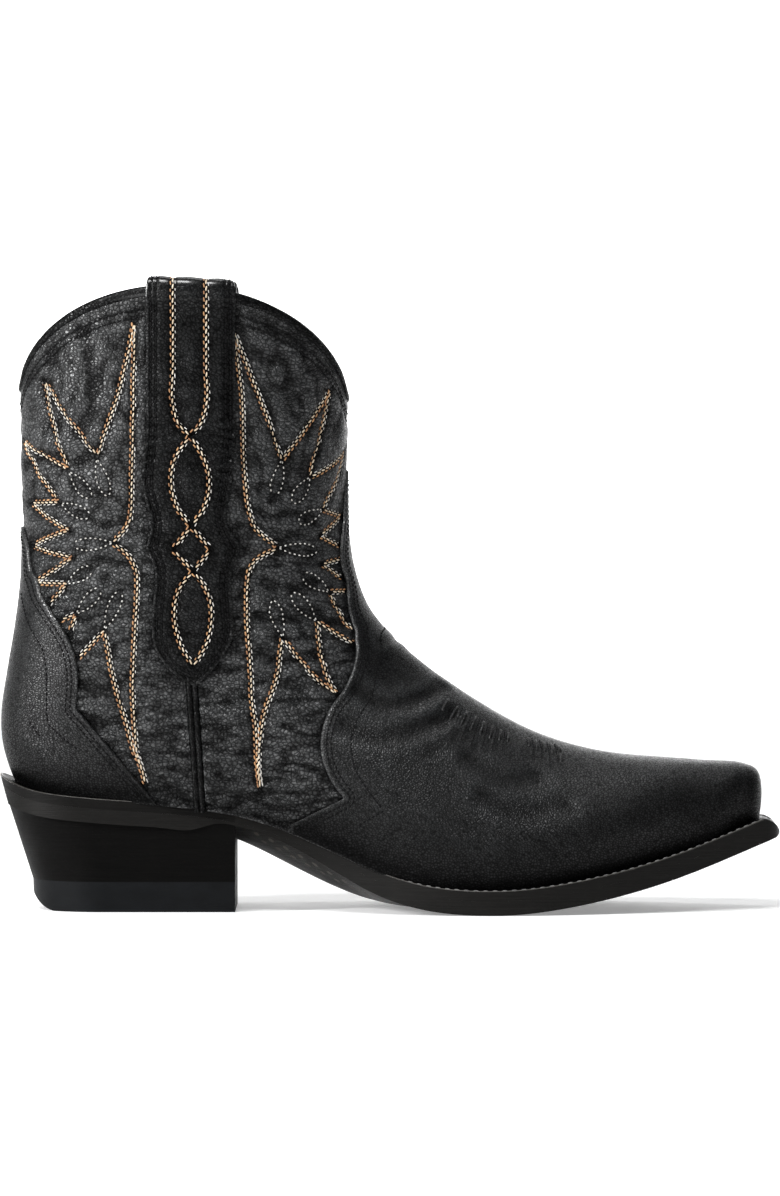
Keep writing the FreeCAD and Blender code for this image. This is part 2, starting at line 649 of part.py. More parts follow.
def heel_layer(name, low, high, low_size=None):
    """One layer of the heel, lofted from its lower outline to its upper one."""
    body = doc.addObject("PartDesign::Body", name)
    upper = [HEEL_LEVELS[key] % high for key in ("width", "back")]
    lower = low_size or [HEEL_LEVELS[key] % low for key in ("width", "back")]
    bottom = heel_outline(body, name + "_bottom", low, *lower)
    top = heel_outline(body, name + "_top", high, *upper)
    loft = body.newObject("PartDesign::AdditiveLoft", name + "_loft")
    loft.Profile = bottom
    loft.Sections = [top]
    loft.Ruled = True
    return body


LIFTS = 4
cap_body = heel_layer("cap_body", "0", "dims.cap_gauge", ("dims.cap_width", "dims.cap_back"))
levels = ["(dims.cap_gauge + %d * dims.lift_gauge)" % n for n in range(LIFTS + 1)]
lift_bodies = [heel_layer("lift_body_%d" % (n + 1), levels[n], levels[n + 1])
               for n in range(LIFTS)]
wedge_body = heel_layer("wedge_body", levels[LIFTS], "(%s)" % SEAT_TOP)
# the cap's back edge is rounded off towards the ground
CAP_ROUND = [(-136.6, 12), (-135.4, 8.0), (-133.0, 4.0), (-129.8, 1.2), (-126, 0)]
cap_profile = side_prism("cap_profile", CAP_ROUND, [CAP_ROUND[-1], (-126, -5)],
                         [(-126, -5), (0, -5)], [(0, -5), (0, 20)], [(0, 20), (-136.6, 20)],
                         [(-136.6, 20), CAP_ROUND[0]])


def fastener(name, x, y, low, high, radius_cell, tip_share=1.0):
    """A round peg or nail, standing upright; its lower end may be the thinner one."""
    pin = doc.addObject("Part::Cone", name)
    pin.setExpression("Radius2", "dims.%s" % radius_cell)
    pin.setExpression("Radius1", "dims.%s * %s" % (radius_cell, tip_share))
    pin.Height = high - low
    pin.Placement.Base = Vector(x, y, low)
    return pin


def group(name, members):
    made = doc.addObject("Part::Compound", name)
    made.Links = members
    return made


# Nails that hold the cap, in a horseshoe; their heads sit inside the tread.
HEAD_DEPTH = 1.0
CAP_NAILS = [(-66, -18), (-66, 18), (-84, -19), (-84, 19), (-102, -17), (-102, 17), (-114, 0)]
cap_nails = group("heel_cap_nails", [
    fastener("cap_nail_%d" % n, x, y, HEAD_DEPTH, 24.0, "nail_radius")
    for n, (x, y) in enumerate(CAP_NAILS, start=1)])

# Nails driven down through the insole into the stack.
SEAT_NAILS = [(-76, -11), (-76, 11), (-96, -12), (-96, 12), (-118, 0)]
seat_nails = group("heel_seat_nails", [
    fastener("seat_nail_%d" % n, x, y, 25.5, feather_height(x) + size("insole_gauge") - 0.6,
             "nail_radius", 0.6)
    for n, (x, y) in enumerate(SEAT_NAILS, start=1)])

# Wooden pegs, in two rows down each side of the waist, from sole to insole.
PEG_ROWS, PEG_FIRST, PEG_PITCH, PEG_COUNT = (4.5, 8.5), -50.0, 5.5, 8


def waist_half(x):
    """Half width of the sole's plan at x in the waist."""
    narrow_x, narrow, spread = -40.0, 29.0, 0.0042
    return narrow + spread * (x - narrow_x) ** 2


pegs = []
for side in (-1, 1):
    for row, inset in enumerate(PEG_ROWS):
        for n in range(PEG_COUNT):
            x = PEG_FIRST + (n + 0.5 * row) * PEG_PITCH
            y = side * (waist_half(x) - inset)
            low = feather_height(x) - centre_drop(x) - 0.5
            pegs.append(fastener("peg_%d" % (len(pegs) + 1), x, y, low,
                                 feather_height(x) - 0.4, "peg_radius"))
waist_pegs = common("waist_pegs", group("peg_blanks", pegs), above_sole)

nails = group("nails", [cap_nails, seat_nails])
lifts = [cut("heel_lift_%d" % n, body, nails) for n, body in enumerate(lift_bodies, start=1)]
wedge = cut("heel_wedge", cut("wedge_blank", wedge_body, above_sole), nails)
heel_cap = cut("heel_cap", common("cap_blank", cap_body, cap_profile), cap_nails)

# ------------------------------------- pieces that the nails and pegs go through

insole = cut("insole", insole_blank, seat_nails)
outsole = cut("outsole", cut("outsole_pegged", outsole_blank, waist_pegs), seat_nails)
welt_pegged = cut("welt_pegged", welt, waist_pegs)
filler_blank = cut("filler_blank", common("filler_ring", core, rib_inner), shank_body)
cork_filler = common("cork_filler", filler_blank, before_breast)
seat_core = cut("seat_core", cut("seat_core_blank", core, before_breast), shank_body)
seat_filler = cut("seat_filler", seat_core, seat_nails)
rib_pegged = cut("rib_pegged", insole_rib, waist_pegs)

# ------------------------------------------------------------------- output

NODES = {
    "vamp": vamp,
    "counter_cover": counter_cover,
    "front_shaft_panel": front_shaft_panel,
    "back_shaft_panel": back_shaft_panel,
    "pull_strap_lateral": pull_straps["lateral"],
    "pull_strap_medial": pull_straps["medial"],
    "side_piping_lateral": side_piping["lateral"],
    "side_piping_medial": side_piping["medial"],
    "collar_binding": collar_binding,
    "front_shaft_lining": front_shaft_lining,
    "back_shaft_lining": back_shaft_lining,
    "vamp_lining": vamp_lining,
    "vamp_interlining": vamp_interlining,
    "toe_puff": toe_puff,
    "heel_stiffener": heel_stiffener,
    "footbed": footbed,
    "insole": insole,
    "insole_rib": rib_pegged,
    "welt": welt_pegged,
    "heel_seat_rand": heel_seat_rand,
    "cork_filler": cork_filler,
    "seat_filler": seat_filler,
    "steel_shank": shank_body,
    "shank_cover": shank_cover,
    "outsole": outsole,
    "waist_pegs": waist_pegs,
    "heel_wedge": wedge,
    "heel_cap": heel_cap,
    "heel_cap_nails": cap_nails,
    "heel_seat_nails": seat_nails,
}
for n, lift in enumerate(reversed(lifts), start=1):
    NODES["heel_lift_%d" % n] = lift          # counted from the seat down

doc.recompute()
for item in doc.Objects:
    if "Invalid" in item.State or "Error" in item.State:
        raise RuntimeError("%s failed: %s" % (item.Name, item.State))

os.makedirs("parts", exist_ok=True)
for node, item in NODES.items():
    shape = item.Shape
    if shape.isNull() or not shape.isValid() or not shape.Solids:
        raise RuntimeError("%s has no valid solid" % node)
    item.Label = node
    shape.exportStep("parts/%s.step" % node)
    print("%-20s %2d solid(s) %8.2f cm3" % (node, len(shape.Solids), shape.Volume / 1000))
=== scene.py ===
"""Looks of a black western ankle boot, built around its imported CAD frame."""
import math

import bmesh
import bpy
import numpy as np
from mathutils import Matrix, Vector, kdtree, noise
from mathutils.bvhtree import BVHTree


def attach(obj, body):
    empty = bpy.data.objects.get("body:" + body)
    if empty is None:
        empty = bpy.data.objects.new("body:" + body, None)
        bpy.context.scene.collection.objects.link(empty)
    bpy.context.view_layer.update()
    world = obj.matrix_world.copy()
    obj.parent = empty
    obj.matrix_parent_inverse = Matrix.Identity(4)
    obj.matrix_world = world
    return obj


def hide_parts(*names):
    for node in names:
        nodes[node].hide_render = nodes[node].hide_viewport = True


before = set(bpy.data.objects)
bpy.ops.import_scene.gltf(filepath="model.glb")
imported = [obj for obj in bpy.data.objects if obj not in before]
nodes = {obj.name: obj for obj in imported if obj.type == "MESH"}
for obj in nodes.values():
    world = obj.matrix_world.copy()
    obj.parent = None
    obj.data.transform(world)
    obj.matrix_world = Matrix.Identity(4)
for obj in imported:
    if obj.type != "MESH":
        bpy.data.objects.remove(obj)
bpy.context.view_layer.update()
MM = 0.001

# ------------------------------------------------------------ camera and light

VIEW_HEIGHT = 0.4529            # height of the picture at the boot
VIEW_CENTRE = Vector((0.0002, 0.0, 0.1174))
CAMERA_DISTANCE = 3.2
CAMERA_LIFT = math.radians(1.6)
SURROUND = (0.9, 0.95, 1.0, 1)
SURROUND_STRENGTH = 0.08
# Area lights: place, what each points at, width, height and power.
LIGHTS = {
    "key": ((-1.8, -1.0, 0.9), (-0.04, 0, 0.12), 0.42, 0.6, 52),
    "brow": ((-0.35, -1.25, 1.75), (0, 0, 0.12), 0.7, 0.4, 24),
    "top": ((0.1, 0.3, 1.9), (0, 0.0, 0.0), 1.0, 0.7, 9),
    "back": ((0, 2.6, 1.6), (0, 4.5, 0.6), 3.0, 1.0, 160),
}
FLOOR_NEAR, FLOOR_FAR, FLOOR_SIDE = -6, 3.5, 9
BACKDROP_ROUND, BACKDROP_TOP = 1.5, 7.0
FLOOR_GLOW = 0.28


def make_camera():
    data = bpy.data.cameras.new("camera")
    camera = bpy.data.objects.new("camera", data)
    bpy.context.scene.collection.objects.link(camera)
    camera.location = VIEW_CENTRE + Vector((0, -CAMERA_DISTANCE * math.cos(CAMERA_LIFT),
                                            CAMERA_DISTANCE * math.sin(CAMERA_LIFT)))
    camera.rotation_euler = (math.pi / 2 - CAMERA_LIFT, 0, 0)
    data.sensor_fit = "VERTICAL"
    data.lens = data.sensor_height * CAMERA_DISTANCE / VIEW_HEIGHT
    bpy.context.scene.camera = camera
    bpy.context.scene.view_settings.view_transform = "Standard"


def area_light(name, place, target, width, height, power):
    data = bpy.data.lights.new(name, "AREA")
    data.shape = "RECTANGLE"
    data.size, data.size_y, data.energy = width, height, power
    light = bpy.data.objects.new(name, data)
    bpy.context.scene.collection.objects.link(light)
    light.location = place
    light.rotation_euler = (Vector(target) - Vector(place)).to_track_quat("-Z", "Y").to_euler()


def make_lights():
    world = bpy.data.worlds.new("studio")
    world.use_nodes = True
    surround = world.node_tree.nodes["Background"]
    surround.inputs["Color"].default_value = SURROUND
    surround.inputs["Strength"].default_value = SURROUND_STRENGTH
    bpy.context.scene.world = world
    for name, settings in LIGHTS.items():
        area_light(name, *settings)


def make_mesh(name, places, faces):
    """A smooth object from places in metres."""
    mesh = bpy.data.meshes.new(name)
    mesh.from_pydata([tuple(p) for p in places], [], faces)
    mesh.polygons.foreach_set("use_smooth", [True] * len(mesh.polygons))
    made = bpy.data.objects.new(name, mesh)
    bpy.context.scene.collection.objects.link(made)
    return made


def make_floor():
    """A pale floor that curves up into a backdrop."""
    profile = [(FLOOR_NEAR, 0), (FLOOR_FAR, 0)]
    profile += [(FLOOR_FAR + BACKDROP_ROUND * math.sin(turn), BACKDROP_ROUND * (1 - math.cos(turn)))
                for turn in np.linspace(0.1, math.pi / 2, 16)]
    profile.append((FLOOR_FAR + BACKDROP_ROUND, BACKDROP_TOP))
    places = [(x, y, z) for y, z in profile for x in (-FLOOR_SIDE, FLOOR_SIDE)]
    faces = [(2 * n, 2 * n + 1, 2 * n + 3, 2 * n + 2) for n in range(len(profile) - 1)]
    floor = make_mesh("floor", places, faces)
    material = bpy.data.materials.new("floor_paint")
    material.use_nodes = True
    surface = material.node_tree.nodes["Principled BSDF"]
    for socket, value in {"Base Color": (0.93, 0.93, 0.93, 1), "Roughness": 0.7,
                          "Emission Color": (1, 1, 1, 1), "Emission Strength": FLOOR_GLOW}.items():
        surface.inputs[socket].default_value = value
    floor.data.materials.append(material)


# ------------------------------------------------------------- smooth curves

CURVE_STEPS = 16                # short straight steps between two points of a curve


def smooth_line(points, count):
    """Evenly spaced points on a smooth curve through the given ones."""
    points = np.array(points, float)
    ends = [2 * points[0] - points[1], *points, 2 * points[-1] - points[-2]]
    steps = np.linspace(0, 1, CURVE_STEPS + 1)[:-1, None]
    curve = []
    for a, b, c, d in zip(ends, ends[1:], ends[2:], ends[3:]):
        reach = np.linalg.norm(c - b)
        before = reach / (reach + np.linalg.norm(b - a))
        after = reach / (reach + np.linalg.norm(d - c))
        slope_b = (c - a) * before
        slope_c = (d - b) * after
        curve.append((2 * steps ** 3 - 3 * steps ** 2 + 1) * b + (3 * steps ** 2 - 2 * steps ** 3) * c
                     + (steps ** 3 - 2 * steps ** 2 + steps) * slope_b
                     + (steps ** 3 - steps ** 2) * slope_c)
    curve = np.vstack(curve + [points[-1:]])
    return even_line(curve, count)


def unit(vectors):
    """The same directions with a length of one."""
    return vectors / np.maximum(np.linalg.norm(vectors, axis=-1, keepdims=True), 1e-12)


def running_length(line):
    """How far along a line each of its places is."""
    return np.concatenate([[0], np.cumsum(np.linalg.norm(np.diff(line, axis=0), axis=1))])


def at_lengths(wanted, along, values):
    """Values that are known at some lengths along a line, taken at the wanted lengths."""
    return np.stack([np.interp(wanted, along, part) for part in values.T], 1)


def even_line(curve, count):
    """The same line with evenly spaced points."""
    along = running_length(curve)
    return at_lengths(np.linspace(0, along[-1], count), along, curve)


# ------------------------------------------------------------ the upper's wall

# Sections of the upper from above the collar to the toe, in mm: the back end's x and z and
# the front end's x and z in the middle plane, and half the width.
SECTIONS = [(-142.6, 243, -12.6, 243, 38.6), (-140.9, 193, -14.4, 193, 37.8),
            (-139.6, 149, -15.4, 150, 37), (-142.3, 105, -9, 116.5, 35.2),
            (-146.8, 65, 6, 98, 34), (-140, 45, 14.5, 91, 34.4), (-95, 22, 32, 79, 37.4),
            (-32, 5, 55.5, 66.3, 42.2), (22, -9, 85, 58.4, 44.2), (77, -1, 112.5, 56.2, 34.4),
            (122, 17, 133.5, 54.8, 19.4), (134.6, 25, 138.2, 50.5, 13)]
ROWS, COLUMNS = 340, 300
CAP_ROWS = 10                   # rows that close the snipped toe
RAY_START, RAY_DEPTH = 22 * MM, 12 * MM    # how far outside and inside a section a ray runs
LAYER = 1.3 * MM                # the gauge of each layer of the upper
RINGS_GROWN, SOFTENING = 10, 4  # places the wall is carried on past its edges; smoothing rounds
GROW_REACH = 4                  # places back that its slope is taken from
FEATHER = [(-156, 57.0), (-148, 51.6), (-140, 47.4), (-124, 44.0), (-79, 40.4), (-56, 37.0),
           (-40, 32.0), (-25, 25.6), (-2, 15.2), (13, 11.0), (30, 9.2), (47, 9.3), (65, 11.4),
           (87, 15.8), (110, 22.4), (133, 31.0), (156, 40.0)]
SUNK = 0.8                      # mm the upper reaches below the welt's top
FEATHER_CLEAR = 0.4 * MM        # a ray that lands lower than this has met an under side
LININGS = ("front_shaft_lining", "back_shaft_lining", "vamp_lining")


def node_tree(*names):
    """A tree of the CAD nodes' faces, for casting rays at them."""
    places, faces = [], []
    for name in names:
        mesh = nodes[name].data
        first = len(places)
        places += [tuple(v.co) for v in mesh.vertices]
        faces += [[first + n for n in face.vertices] for face in mesh.polygons]
    return BVHTree.FromPolygons(places, faces)


def feather_line():
    """The line where the upper meets the welt, in mm: places along the boot and heights."""
    return smooth_line(FEATHER, 100).T


def ellipse_angles(width):
    """Angles that divide an ellipse's outline into even steps."""
    angle = np.linspace(0, 2 * math.pi, 2001)
    step = np.hypot(np.sin(angle), width * np.cos(angle))
    along = np.concatenate([[0], np.cumsum((step[1:] + step[:-1]) / 2)])
    return np.interp(np.linspace(0, along[-1], COLUMNS + 1)[:-1], along, angle)


def cast_wall():
    """Where rays at the linings land: a grid of rows down the boot and columns round it.
    Column 0 runs down the front and the outer side comes first."""
    tree = node_tree(*LININGS)
    feather = feather_line() * MM
    lines = smooth_line(SECTIONS, ROWS - CAP_ROWS) * MM
    grid = np.full((ROWS, COLUMNS, 3), np.nan)
    for row in range(ROWS):
        line = lines[min(row, len(lines) - 1)]
        back, front = np.array([line[0], 0, line[1]]), np.array([line[2], 0, line[3]])
        half = np.linalg.norm(front - back) / 2
        along = (front - back) / (2 * half)
        middle = (front + back) / 2
        width = min(line[4], half * 0.98)
        share = max(row - len(lines) + 1, 0) / CAP_ROWS * math.pi / 2
        for column, angle in enumerate(ellipse_angles(width / half)):
            rim = middle + along * half * math.cos(angle) - np.array([0, width * math.sin(angle), 0])
            core = middle + along * max(half - width, 0) * math.cos(angle)
            away = (rim - core) / np.linalg.norm(rim - core)
            if share:
                core = middle
                away = away * math.cos(share) + np.array([math.sin(share), 0, 0])
                away /= np.linalg.norm(away)
                rim = middle + away * width
            hit = tree.ray_cast(Vector(rim + away * RAY_START), Vector(-away), RAY_START + RAY_DEPTH)
            if hit[0] is not None and hit[0].z > np.interp(hit[0].x, *feather) + FEATHER_CLEAR:
                grid[row, column] = hit[0]
    return grid


def shifted(grid, down, round_):
    """The grid moved by whole rows and columns. Rows past an end hold nothing."""
    moved = np.roll(grid, round_, 1)
    if down:
        moved = np.roll(moved, down, 0)
        if down > 0:
            moved[:down] = np.nan
        else:
            moved[down:] = np.nan
    return moved


def grow(grid, times):
    """The wall carried on past its edges."""
    for _ in range(times):
        guesses = []
        for down, round_ in ((1, 0), (-1, 0), (0, 1), (0, -1)):
            near = shifted(grid, down, round_)
            far = shifted(grid, (1 + GROW_REACH) * down, (1 + GROW_REACH) * round_)
            guesses.append(near + (near - far) / GROW_REACH)
        guesses = np.stack(guesses)
        found = ~np.isnan(guesses[..., :1])
        total = np.where(found, guesses, 0).sum(0)
        count = found.sum(0)
        guess = np.where(count > 0, total / np.maximum(count, 1), np.nan)
        grid = np.where(np.isnan(grid), guess, grid)
    return grid


def soften(grid, times):
    """The grid with small steps between facets smoothed out."""
    for _ in range(times):
        for down, round_ in ((1, 0), (0, 1)):
            before, after = shifted(grid, down, round_), shifted(grid, -down, -round_)
            mean = (before + 2 * grid + after) / 4
            grid = np.where(np.isnan(mean), grid, mean)
    return grid


def wall_normals(grid):
    """Unit vectors that point out of the wall."""
    down = np.gradient(grid, axis=0)
    round_ = (np.roll(grid, -1, 1) - np.roll(grid, 1, 1)) / 2
    return unit(np.cross(round_, down))


def blend(grid, top, left, right, down, over):
    """A grid's values at shares down and over between two rows and two columns."""
    if grid.ndim == 3:
        down, over = down[..., None], over[..., None]
    return ((grid[top, left] * (1 - over) + grid[top, right] * over) * (1 - down)
            + (grid[top + 1, left] * (1 - over) + grid[top + 1, right] * over) * down)


def sample(grid, rows, columns):
    """A grid's values between its points. Columns run round without an end."""
    rows = np.clip(rows, 0, ROWS - 1.000001)
    top = np.floor(rows).astype(int)
    left = np.floor(columns).astype(int)
    return blend(grid, top, left % COLUMNS, (left + 1) % COLUMNS, rows - top, columns - left)


wall = soften(grow(cast_wall(), RINGS_GROWN), SOFTENING)
normals = wall_normals(wall)
usable = ~np.isnan(normals[..., 0]) & ~np.isnan(wall[..., 0])
skin = {depth: (wall + normals * depth * LAYER) / MM for depth in (0, 1, 2)}


def mirrored(places):
    """The same rows and columns on the inner side of the boot."""
    return np.stack([places[:, 0], (COLUMNS - places[:, 1]) % COLUMNS], 1)


FINDER_ROUNDS = 6
FINDER_EDGE_ON = 0.02           # mm2 of a cell's side view, under which it is seen edge on


def make_finder(depth):
    """A function from side view places, in mm, to rows and columns on the outer side."""
    surface = skin[depth]
    half = COLUMNS // 2
    tree = kdtree.KDTree(ROWS * half)
    for row in range(ROWS):
        for column in range(half):
            if usable[row, column]:
                x, _, z = surface[row, column]
                tree.insert((x, z, 0), row * half + column)
    tree.balance()

    def find(points):
        found = []
        for x, z in points:
            near = tree.find((x, z, 0))[1]
            row, column = float(near // half), float(near % half)
            for _ in range(FINDER_ROUNDS):
                place = sample(surface, row, column)
                down = sample(surface, min(row + 0.5, ROWS - 1), column) \
                    - sample(surface, max(row - 0.5, 0), column)
                over = sample(surface, row, column + 0.5) - sample(surface, row, column - 0.5)
                matrix = np.array([[down[0], over[0]], [down[2], over[2]]])
                if abs(np.linalg.det(matrix)) < FINDER_EDGE_ON:
                    break
                step = np.linalg.solve(matrix, [x - place[0], z - place[2]])
                row += float(np.clip(step[0], -2, 2))
                column += float(np.clip(step[1], -2, 2))
            found.append((row, column))
        return np.array(found)

    return find


find_on_shaft = make_finder(1)
find_on_cover = make_finder(2)

# ------------------------------------------------------------ fields and cuts


def line_distance(lines, across, up):
    """Distance in mm to the nearest of some lines in one plane."""
    nearest = np.full(across.shape, 1e9)
    for line in lines:
        for (x0, z0), (x1, z1) in zip(line, line[1:]):
            run_x, run_z = x1 - x0, z1 - z0
            length = max(run_x ** 2 + run_z ** 2, 1e-12)
            share = np.clip(((across - x0) * run_x + (up - z0) * run_z) / length, 0, 1)
            gap = (across - x0 - share * run_x) ** 2 + (up - z0 - share * run_z) ** 2
            nearest = np.minimum(nearest, gap)
    return np.sqrt(nearest)


def region_field(outline, across, up):
    """How far each place lies inside a closed outline, in mm; negative outside it."""
    closed = np.vstack([outline, outline[:1]])
    inside = np.zeros(across.shape, bool)
    for (x0, z0), (x1, z1) in zip(closed, closed[1:]):
        if z0 != z1:
            crosses = (z0 > up) != (z1 > up)
            inside ^= crosses & (across < x0 + (up - z0) * (x1 - x0) / (z1 - z0))
    return np.where(inside, 1, -1) * line_distance([closed], across, up)


def clip(polygons, places, values, level):
    """Splits polygons along a level of the values: those above it, and those below it."""
    made = {}
    above, below = [], []
    for polygon in polygons:
        sides = [values[corner] >= level for corner in polygon]
        if all(sides):
            above.append(polygon)
            continue
        if not any(sides):
            below.append(polygon)
            continue
        high, low = [], []
        for n, corner in enumerate(polygon):
            follower = polygon[(n + 1) % len(polygon)]
            (high if sides[n] else low).append(corner)
            if sides[n] != sides[(n + 1) % len(polygon)]:
                key = (min(corner, follower), max(corner, follower))
                if key not in made:
                    share = (level - values[corner]) / (values[follower] - values[corner])
                    row, column = places[corner]
                    over = (places[follower][1] - column + COLUMNS / 2) % COLUMNS - COLUMNS / 2
                    places.append((row + (places[follower][0] - row) * share,
                                   (column + over * share) % COLUMNS))
                    values.append(level)
                    made[key] = len(places) - 1
                high.append(made[key])
                low.append(made[key])
        above.append(high)
        below.append(low)
    return above, below


def cell(row, column):
    """The corners of one of the wall's cells, as rows and columns."""
    after = (column + 1) % COLUMNS
    return [(row, column), (row + 1, column), (row + 1, after), (row, after)]


def numbered(corners):
    """Corners as numbers that run along the rows."""
    return [row * COLUMNS + column for row, column in corners]


def over_cells(grid, join):
    """A value for each of the wall's cells, joined from those at its corners."""
    return join.reduce([np.roll(grid, -over, 1)[down:ROWS - 1 + down]
                        for down in (0, 1) for over in (0, 1)])


def cells_inside(field):
    """The grid's cells that a field reaches into, with the places and values of all corners."""
    ready = usable & ~np.isnan(field)
    known = np.where(ready, field, -1e3)
    reached = over_cells(ready, np.logical_and) & (over_cells(known, np.maximum) > 0)
    polygons = [numbered(cell(*place)) for place in zip(*np.nonzero(reached))]
    places = [(row, column) for row in range(ROWS) for column in range(COLUMNS)]
    return polygons, places, list(known.ravel())


RIDGE = 0.22                    # mm a full ridge stands above its surroundings
RIDGE_SOFTENING = 14            # smoothing rounds that give those surroundings
EDGE_WEAR_AND_HIGHLIGHT = 0.7                 # mm of cut edge that is painted lighter: partly wear, partly painted highlight
EDGE_ROLL = 0.5                 # mm, radius of the panels' cut edges
CREASE_PRINT = 0.8              # share of a crease that shows on the under side


def fit_piece(made, material, node=None):
    """Gives a piece its material and its body, and hides the CAD node that it stands for."""
    made.data.materials.append(material)
    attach(made, "root")
    if node:
        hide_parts(node)


def mark(made, name, values):
    """Stores a value at every corner for the materials to read."""
    made.data.attributes.new(name, "FLOAT", "POINT").data.foreach_set("value", np.ravel(values))


def ridges(relief):
    """How far a relief stands above its surroundings, about -1 in creases to 1 on ridges."""
    return np.clip((relief - soften(relief, RIDGE_SOFTENING)) / RIDGE, -1, 1)


def leather_sheet(name, field, depth, relief, dark):
    """A sheet of leather over the wall where a field is positive. Its under side lies depth
    layers above the linings and its edge is rolled. dark holds its painted shade."""
    polygons, places, values = cells_inside(field)
    polygons, _ = clip(polygons, places, values, 0)
    inner, outer = clip(polygons, places, values, EDGE_ROLL)
    polygons = inner + outer
    used = sorted({corner for polygon in polygons for corner in polygon})
    number = {corner: n for n, corner in enumerate(used)}
    polygons = [[number[corner] for corner in polygon] for polygon in polygons]
    rows, columns = np.array([places[corner] for corner in used]).T
    inside = np.array([values[corner] for corner in used])
    under = sample(wall, rows, columns)
    out = sample(normals, rows, columns)
    shape = sample(relief, rows, columns)
    gauge = LAYER / MM
    slack = 1 - np.clip(inside / EDGE_ROLL, 0, 1)
    height = gauge - EDGE_ROLL * (1 - np.sqrt(1 - slack ** 2)) + shape
    base = depth * gauge + np.minimum(shape, 0) * CREASE_PRINT
    top = under + out * ((depth * gauge + height) * MM)[:, None]
    bottom = under + out * (base * MM)[:, None]
    count = len(used)
    faces = polygons + [[corner + count for corner in polygon[::-1]] for polygon in polygons]
    edges = {}
    for polygon in polygons:
        for corner, follower in zip(polygon, polygon[1:] + polygon[:1]):
            edges[corner, follower] = (follower, corner) not in edges
            if not edges[corner, follower]:
                edges[follower, corner] = False
    faces += [[follower, corner, corner + count, follower + count]
              for (corner, follower), open_edge in edges.items() if open_edge]
    made = make_mesh(name, np.vstack([top, bottom]), faces)
    mark(made, "ridge", np.tile(sample(ridges(relief), rows, columns), 2))
    # The cut edge is painted lighter: partly wear, partly a painted highlight.
    worn_and_highlit_edge = np.exp(-(inside / EDGE_WEAR_AND_HIGHLIGHT) ** 2)
    mark(made, "dark", np.tile(sample(dark, rows, columns) - worn_and_highlit_edge, 2))
    return tidy_mesh(made, apart=0.02)


# ------------------------------------------------------------ the boot's lines

def curve_through(*runs):
    """A closed or open outline of smooth runs that meet at corners, in mm."""
    points = []
    for run in runs:
        count = 2 if len(run) == 2 else 10 * len(run)
        points += list(smooth_line(run, count)[:-1]) if count > 2 else [np.array(run[0], float)]
    return np.array(points + [np.array(runs[-1][-1], float)])


def straight(*corners):
    """Runs of straight lines from corner to corner."""
    return [[first, second] for first, second in zip(corners, corners[1:])]


def both_ways(half):
    """A front view outline from one half of it."""
    return [(-y, z) for y, z in half[:-1]] + half[::-1]


BELOW, FAR, TOP = -40, 170, 260     # places well past the boot's foot, toe and back, and top
VAMP_EDGE = [(-6, 114), (-12.0, 107), (-12.2, 97), (-15.8, 86), (-22.6, 76.4), (-25.6, 66.8),
             (-25.2, 58), (-21.6, 49.5), (-17.2, 43.6)]
VAMP_CORNER = (-37, 33.5)
TONGUE_HALF = [(17.5, 106), (15.0, 116), (11.8, 124), (12.6, 131), (11.0, 138), (6.2, 147),
               (4.0, 157), (0, 166)]
COUNTER_EDGE = [(-141.5, 130), (-134.4, 127), (-131.0, 118.6), (-124.0, 108.2), (-119.0, 99),
                (-117.2, 89), (-118.0, 76.8)]
TAB_HALF = [(18.6, 118), (14.2, 127), (10.8, 137), (6, 142.6), (0, 144.6)]
STRAP_LEFT, STRAP_RIGHT, STRAP_TOP = -90.7, -58.1, 239.0
OVERLAY = [[(STRAP_LEFT, 180), (-92.2, 161), (-88.9, 146), (-90.9, 137.4)],
           [(-90.9, 137.4), (-87.5, 128), (-88.6, 114), (-88.2, 101), (-82.6, 91.6), (-72.8, 85.0)],
           [(-72.8, 85.0), (-65.4, 92.6), (-59.2, 103), (-59.2, 115), (-59.6, 127), (-56.4, 137.6)],
           [(-56.4, 137.6), (-61.4, 148), (-59.4, 162), (STRAP_RIGHT, 180)]]
SEAM = [(-70.6, BELOW), (-71.0, 40), (-74.4, 90), (-74.4, 275)]
SEAM_GAP = 4.0
PANEL_TOP = 2.0                 # how far below the collar's edge the shaft panels end
COLLAR_DIP, COLLAR_SLOPE, COLLAR_ROUND, COLLAR_TILT = 190, 1.17, 9, 0.03


def collar_height(x, y):
    """Height of the collar's edge: a rounded V in the front view, tilted a little."""
    half = COLLAR_ROUND * COLLAR_SLOPE / math.hypot(1, COLLAR_SLOPE)
    rise = COLLAR_ROUND - math.sqrt(COLLAR_ROUND ** 2 - half ** 2)
    base = COLLAR_DIP + COLLAR_SLOPE * half - rise
    arc = base + COLLAR_ROUND - np.sqrt(COLLAR_ROUND ** 2 - np.minimum(np.abs(y), half) ** 2)
    return np.where(np.abs(y) < half, arc, COLLAR_DIP + COLLAR_SLOPE * np.abs(y)) - COLLAR_TILT * x


